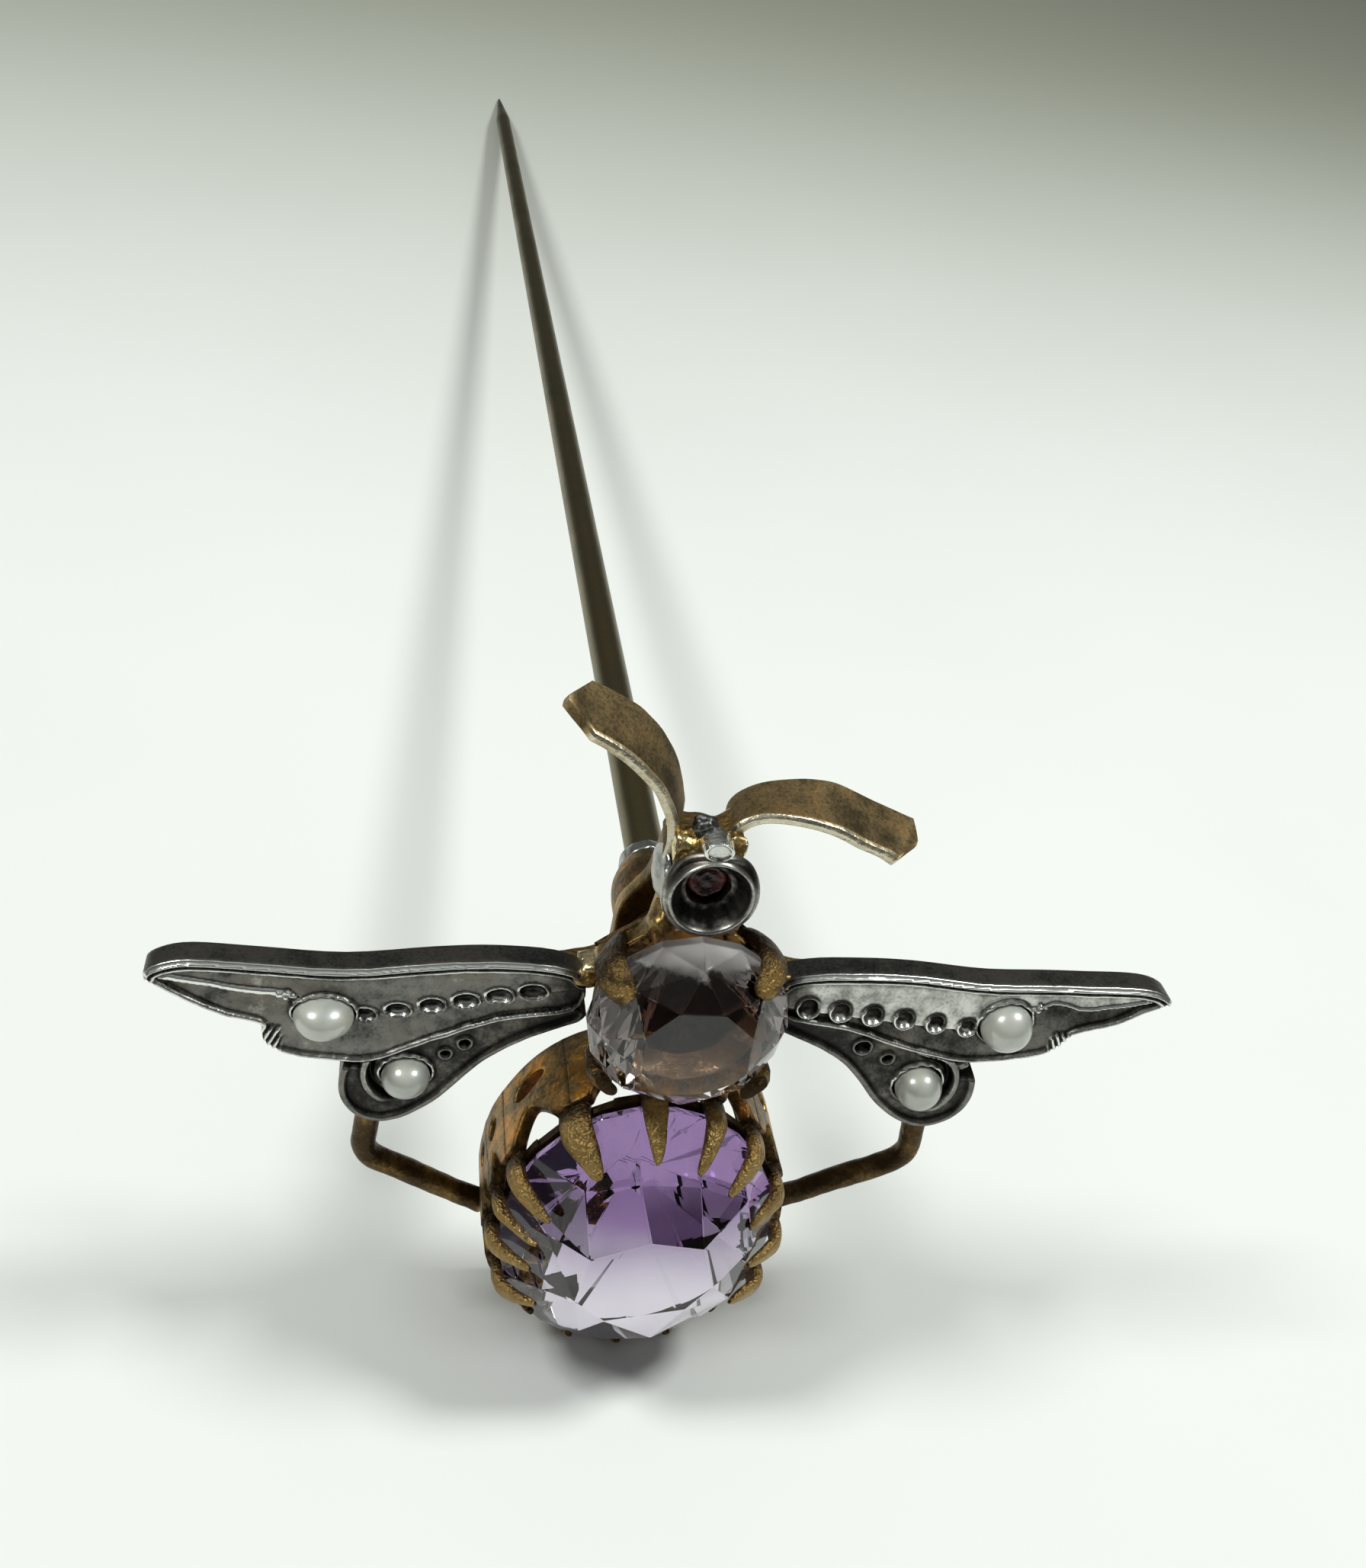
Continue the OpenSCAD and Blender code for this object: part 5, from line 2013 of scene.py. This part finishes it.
    def _saddle(self) -> None:
        """Lofts the gilt saddle between the strips, with its lumps of solder."""
        line = catmull([(-1.12, 6.75), (-0.8, 6.82), (-0.45, 6.74), (-0.05, 6.68), (0.35, 6.72), (0.62, 6.86),
                        (0.86, 6.8)], 4, False)
        rings = []
        for x, z in line:
            section = rounded([(-9.05, z - 0.6), (-9.0, z - 0.05), (-8.7, z + 0.16), (-7.5, z + 0.2),
                               (-7.2, z - 0.1), (-7.2, z - 0.8)], 0.16, 3, True)
            rings.append([(x, y, h) for y, h in section])
        verts, faces = loft(rings)
        verts = shaken(verts, 0.07, 90, 0.8)
        settle(raw_object("head_saddle_gilt", (verts, faces)), self.palette.gilt, ["head_saddle"],
               0.42, 1.6)

    def build(self) -> None:
        """Builds every piece of the head."""
        self._cup()
        self._peg()
        self._saddle()
        self._strip("antenna_left_strip", self.left_front, self.left_back, self.left_tip, -6.8, True,
                    "antenna_left")
        self._strip("antenna_right_strip", self.right_front, self.right_back, self.right_tip, -6.9, False,
                    "antenna_right")


@dataclass
class Backbone(Assembly):
    """The gilt strip behind head, thorax and abdomen, the wing stubs and the solder that holds them.

    Attributes:
        outline: The strip's outline.
        stub: The right wing stub's outline.
        lumps: Name, middle and half sizes of each lump of gilt or solder; the one with dark in its name is
            painted dark, as the peg's shaded side.
    """

    outline: Sequence = (
        (-0.75, 5.6), (-1.1, 3.6), (-1.9, 2.5), (-2.0, -0.3), (-1.45, -3.1), (0.75, -3.1), (2.0, -0.3),
        (1.9, 2.5), (1.1, 3.6), (0.75, 5.6),
    )
    stub: Sequence = ((1.6, 0.5), (2.9, 0.62), (4.6, 0.8), (4.8, 1.3), (2.9, 1.55), (1.6, 2.1))
    lumps: Sequence = (
        ("neck_gilt_left", (-1.05, -8.5, 3.8), (0.42, 0.55, 0.75)),
        ("neck_gilt_right", (0.9, -8.2, 3.75), (0.4, 0.6, 0.5)),
        ("cup_wall_solder", (-1.15, -8.1, 5.3), (0.3, 0.9, 0.85)),
        ("peg_lump_dark_painted_shade", (-0.3, -8.5, 7.18), (0.36, 0.3, 0.34)),
        ("saddle_lump_gilt", (-0.72, -8.5, 6.75), (0.36, 0.34, 0.3)),
        ("root_gilt_left", (-2.95, -8.05, 1.35), (0.6, 0.42, 0.34)),
        ("root_gilt_right", (2.95, -8.05, 1.4), (0.6, 0.4, 0.34)),
    )

    def build(self) -> None:
        """Builds strip, stubs and lumps."""

        def plain(level: float) -> Callable:
            """A slightly uneven front at a depth."""
            def face(spots: Array) -> Front:
                """The front's y and polish."""
                return level + 0.02 * Ripple(95, 1.5).at(spots), np.full(len(spots), 0.2)
            return face

        outline = np.array(rounded(self.outline, 0.35, 4, True))
        shell, polish_and_painted_light = Plate([outline], -5.5, 0.1, 0.25, 2).build(plain(-6.1))
        settle(raw_object("body_spine_strip", shell), self.palette.gilt, ["body_spine"], polish_and_painted_light)
        for side in Side:
            shape = np.array(rounded(self.stub, 0.2, 3, True))
            shell, polish_and_painted_light = Plate([shape], -6.9, 0.12, 0.15, 2).build(plain(-7.48))
            collar = loft([[(x, y, 1.35 + h) for y, h in rounded(
                [(-8.25, -0.3 * k), (-8.3, 0.4 * k), (-7.4, 0.5 * k), (-7.4, -0.55 * k)], 0.15, 3, True)]
                for x, k in ((2.25, 1.0), (2.6, 1.15), (2.95, 1.05), (3.15, 0.9))])
            both = joined([shell, collar])
            verts = shaken(both[0], 0.04, 97, 0.9)
            settle(raw_object(f"wing_stub_{side.word}_bar", mirrored((verts, both[1]), side)),
                   self.palette.gilt, [f"wing_stub_{side.word}"], 0.35)
        arc = np.linspace(-math.pi / 2, math.pi / 2, 26)
        ball, faces = lathe([(max(math.cos(a), 1e-3), math.sin(a)) for a in arc], (0.0, 0.0), 36)
        for k, (name, middle, half) in enumerate(self.lumps):
            swell = 1 + 0.16 * Ripple(110 + k, 1.1).at(ball) + 0.05 * Ripple(120 + k, 0.4).at(ball)
            verts = ball * swell[:, None] * np.array(half) + np.array(middle)
            # A lump with dark in its name is painted dark, as the peg's shaded side.
            gilt, shade_lump = "gilt" in name, "dark" in name
            settle(raw_object(name, (verts, faces)), self.palette.gilt if gilt else self.palette.solder,
                   (), 0.05 if shade_lump else 0.38, 1.2)


# ---- studio ----


@dataclass(frozen=True)
class Studio:
    """The pale table, soft light and camera.

    Attributes:
        table_low: Y and Z of the ornament's back edge on the table.
        table_high: Y and Z of the stem's point on the table.
        table_half: Half the table's side.
        table_steps: Squares along that side.
        lamp_height: Height of the lamps over the table.
        lamp_spread: How far each lamp stands to its side.
        lamp_rows: Name, share of the spread, watts and width of each lamp.
        lamp_colour: Colour of their light.
        room_light: Strength of the room's light from below and from above.
        azimuth: Direction of view, from +Y to +X, in degrees.
        elevation: How far the view looks down.
        roll: Turn of the camera about its view.
        aim: Point on the view's axis.
        reach: Distance from the camera to that point.
        lens: Focal length for a 36 mm sensor.
    """

    table_low: tuple = (-6.1, -13.6)
    table_high: tuple = (145.0, -0.14)
    table_half: float = 1500.0
    table_steps: int = 24
    lamp_height: float = 215.0
    lamp_spread: float = 150.0
    lamp_rows: Sequence = (("lamp_left", -1.0, 0.375, 66.0), ("lamp_right", 0.92, 0.4, 58.0))
    lamp_colour: Colour = (0.975, 1.0, 0.975)
    room_light: tuple = (0.05, 0.33)
    azimuth: float = 12.83
    elevation: float = 31.5
    roll: float = 9.84
    aim: tuple = (-0.91, -7.6, 7.92)
    reach: float = 44.22
    lens: float = 36.4

    def table(self) -> None:
        """Lays the table under the pin."""
        slope = (self.table_high[1] - self.table_low[1]) / (self.table_high[0] - self.table_low[0])
        steps = self.table_steps
        side = np.linspace(-self.table_half, self.table_half, steps + 1)
        verts = [(x, y, self.table_low[1] + slope * (y - self.table_low[0])) for y in side for x in side]
        faces = [(j * (steps + 1) + i, j * (steps + 1) + i + 1, (j + 1) * (steps + 1) + i + 1,
                  (j + 1) * (steps + 1) + i) for j in range(steps) for i in range(steps)]
        mesh = bpy.data.meshes.new("table")
        mesh.from_pydata([tuple(c * MM for c in v) for v in verts], [], faces)
        # The table's far colour is painted shade for the lamps' falloff.
        mesh.materials.append(TableFinish("pale_table", (0.86, 0.88, 0.85), (0.5, 0.52, 0.43)).material())
        placed("table", mesh)

    def lamps(self) -> None:
        """Hangs two soft lamps over the ornament and sets the room's dim light."""
        middle = Vector((0, 0, -10)) * MM
        for name, sign, power, size in self.lamp_rows:
            data = bpy.data.lights.new(name, "AREA")
            data.shape = "DISK"
            data.size = size * MM
            data.energy = power
            data.color = self.lamp_colour
            lamp = placed(name, data)
            lamp.location = Vector((sign * self.lamp_spread, -20.0, self.lamp_height)) * MM
            lamp.rotation_euler = (middle - lamp.location).to_track_quat("-Z", "Y").to_euler()
        world = bpy.data.worlds.new("dim_room")
        world.use_nodes = True
        t = Tree(world.node_tree)
        way = t.add("ShaderNodeTexCoord").outputs["Generated"]
        height = t.add("ShaderNodeSeparateXYZ", {0: way}).outputs["Z"]
        level = t.ramp(height, 0.2, 0.9, *self.room_light)
        ground = t.add("ShaderNodeBackground", {"Color": (0.87, 0.91, 0.88, 1.0), "Strength": level})
        t.add("ShaderNodeOutputWorld", {"Surface": ground.outputs[0]})
        bpy.context.scene.world = world

    def camera(self) -> None:
        """Places the camera."""
        a, e, r = (math.radians(v) for v in (self.azimuth, self.elevation, self.roll))
        forward = Vector((math.sin(a) * math.cos(e), math.cos(a) * math.cos(e), -math.sin(e)))
        right = Vector((math.cos(a), -math.sin(a), 0.0))
        up = right.cross(forward)
        across = math.cos(r) * right + math.sin(r) * up
        above = -math.sin(r) * right + math.cos(r) * up
        data = bpy.data.cameras.new("studio_camera")
        data.lens = self.lens
        data.sensor_width = 36.0
        data.sensor_fit = "AUTO"
        data.clip_start = 0.001
        data.clip_end = 20.0
        camera = placed("studio_camera", data)
        place = (Vector(self.aim) - self.reach * forward) * MM
        turn = Matrix((across, above, -forward)).transposed()
        camera.matrix_world = Matrix.Translation(place) @ turn.to_4x4()
        bpy.context.scene.camera = camera

    def build(self) -> None:
        """Sets up table, light, camera and plain colour."""
        self.table()
        self.lamps()
        self.camera()
        scene = bpy.context.scene
        scene.view_settings.view_transform = "Standard"
        scene.view_settings.look = "None"


def main() -> None:
    """Builds the pin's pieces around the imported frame."""
    logging.basicConfig(level=logging.INFO, format="%(name)s: %(message)s")
    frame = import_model()
    palette = Palette()
    shapers = Shapers()
    for kind in (Stem, Wings, Thorax, Abdomen, Legs, Head, Backbone):
        kind(palette, shapers, frame["nodes"]).build()
    Studio().build()


if __name__ == "__main__":
    main()
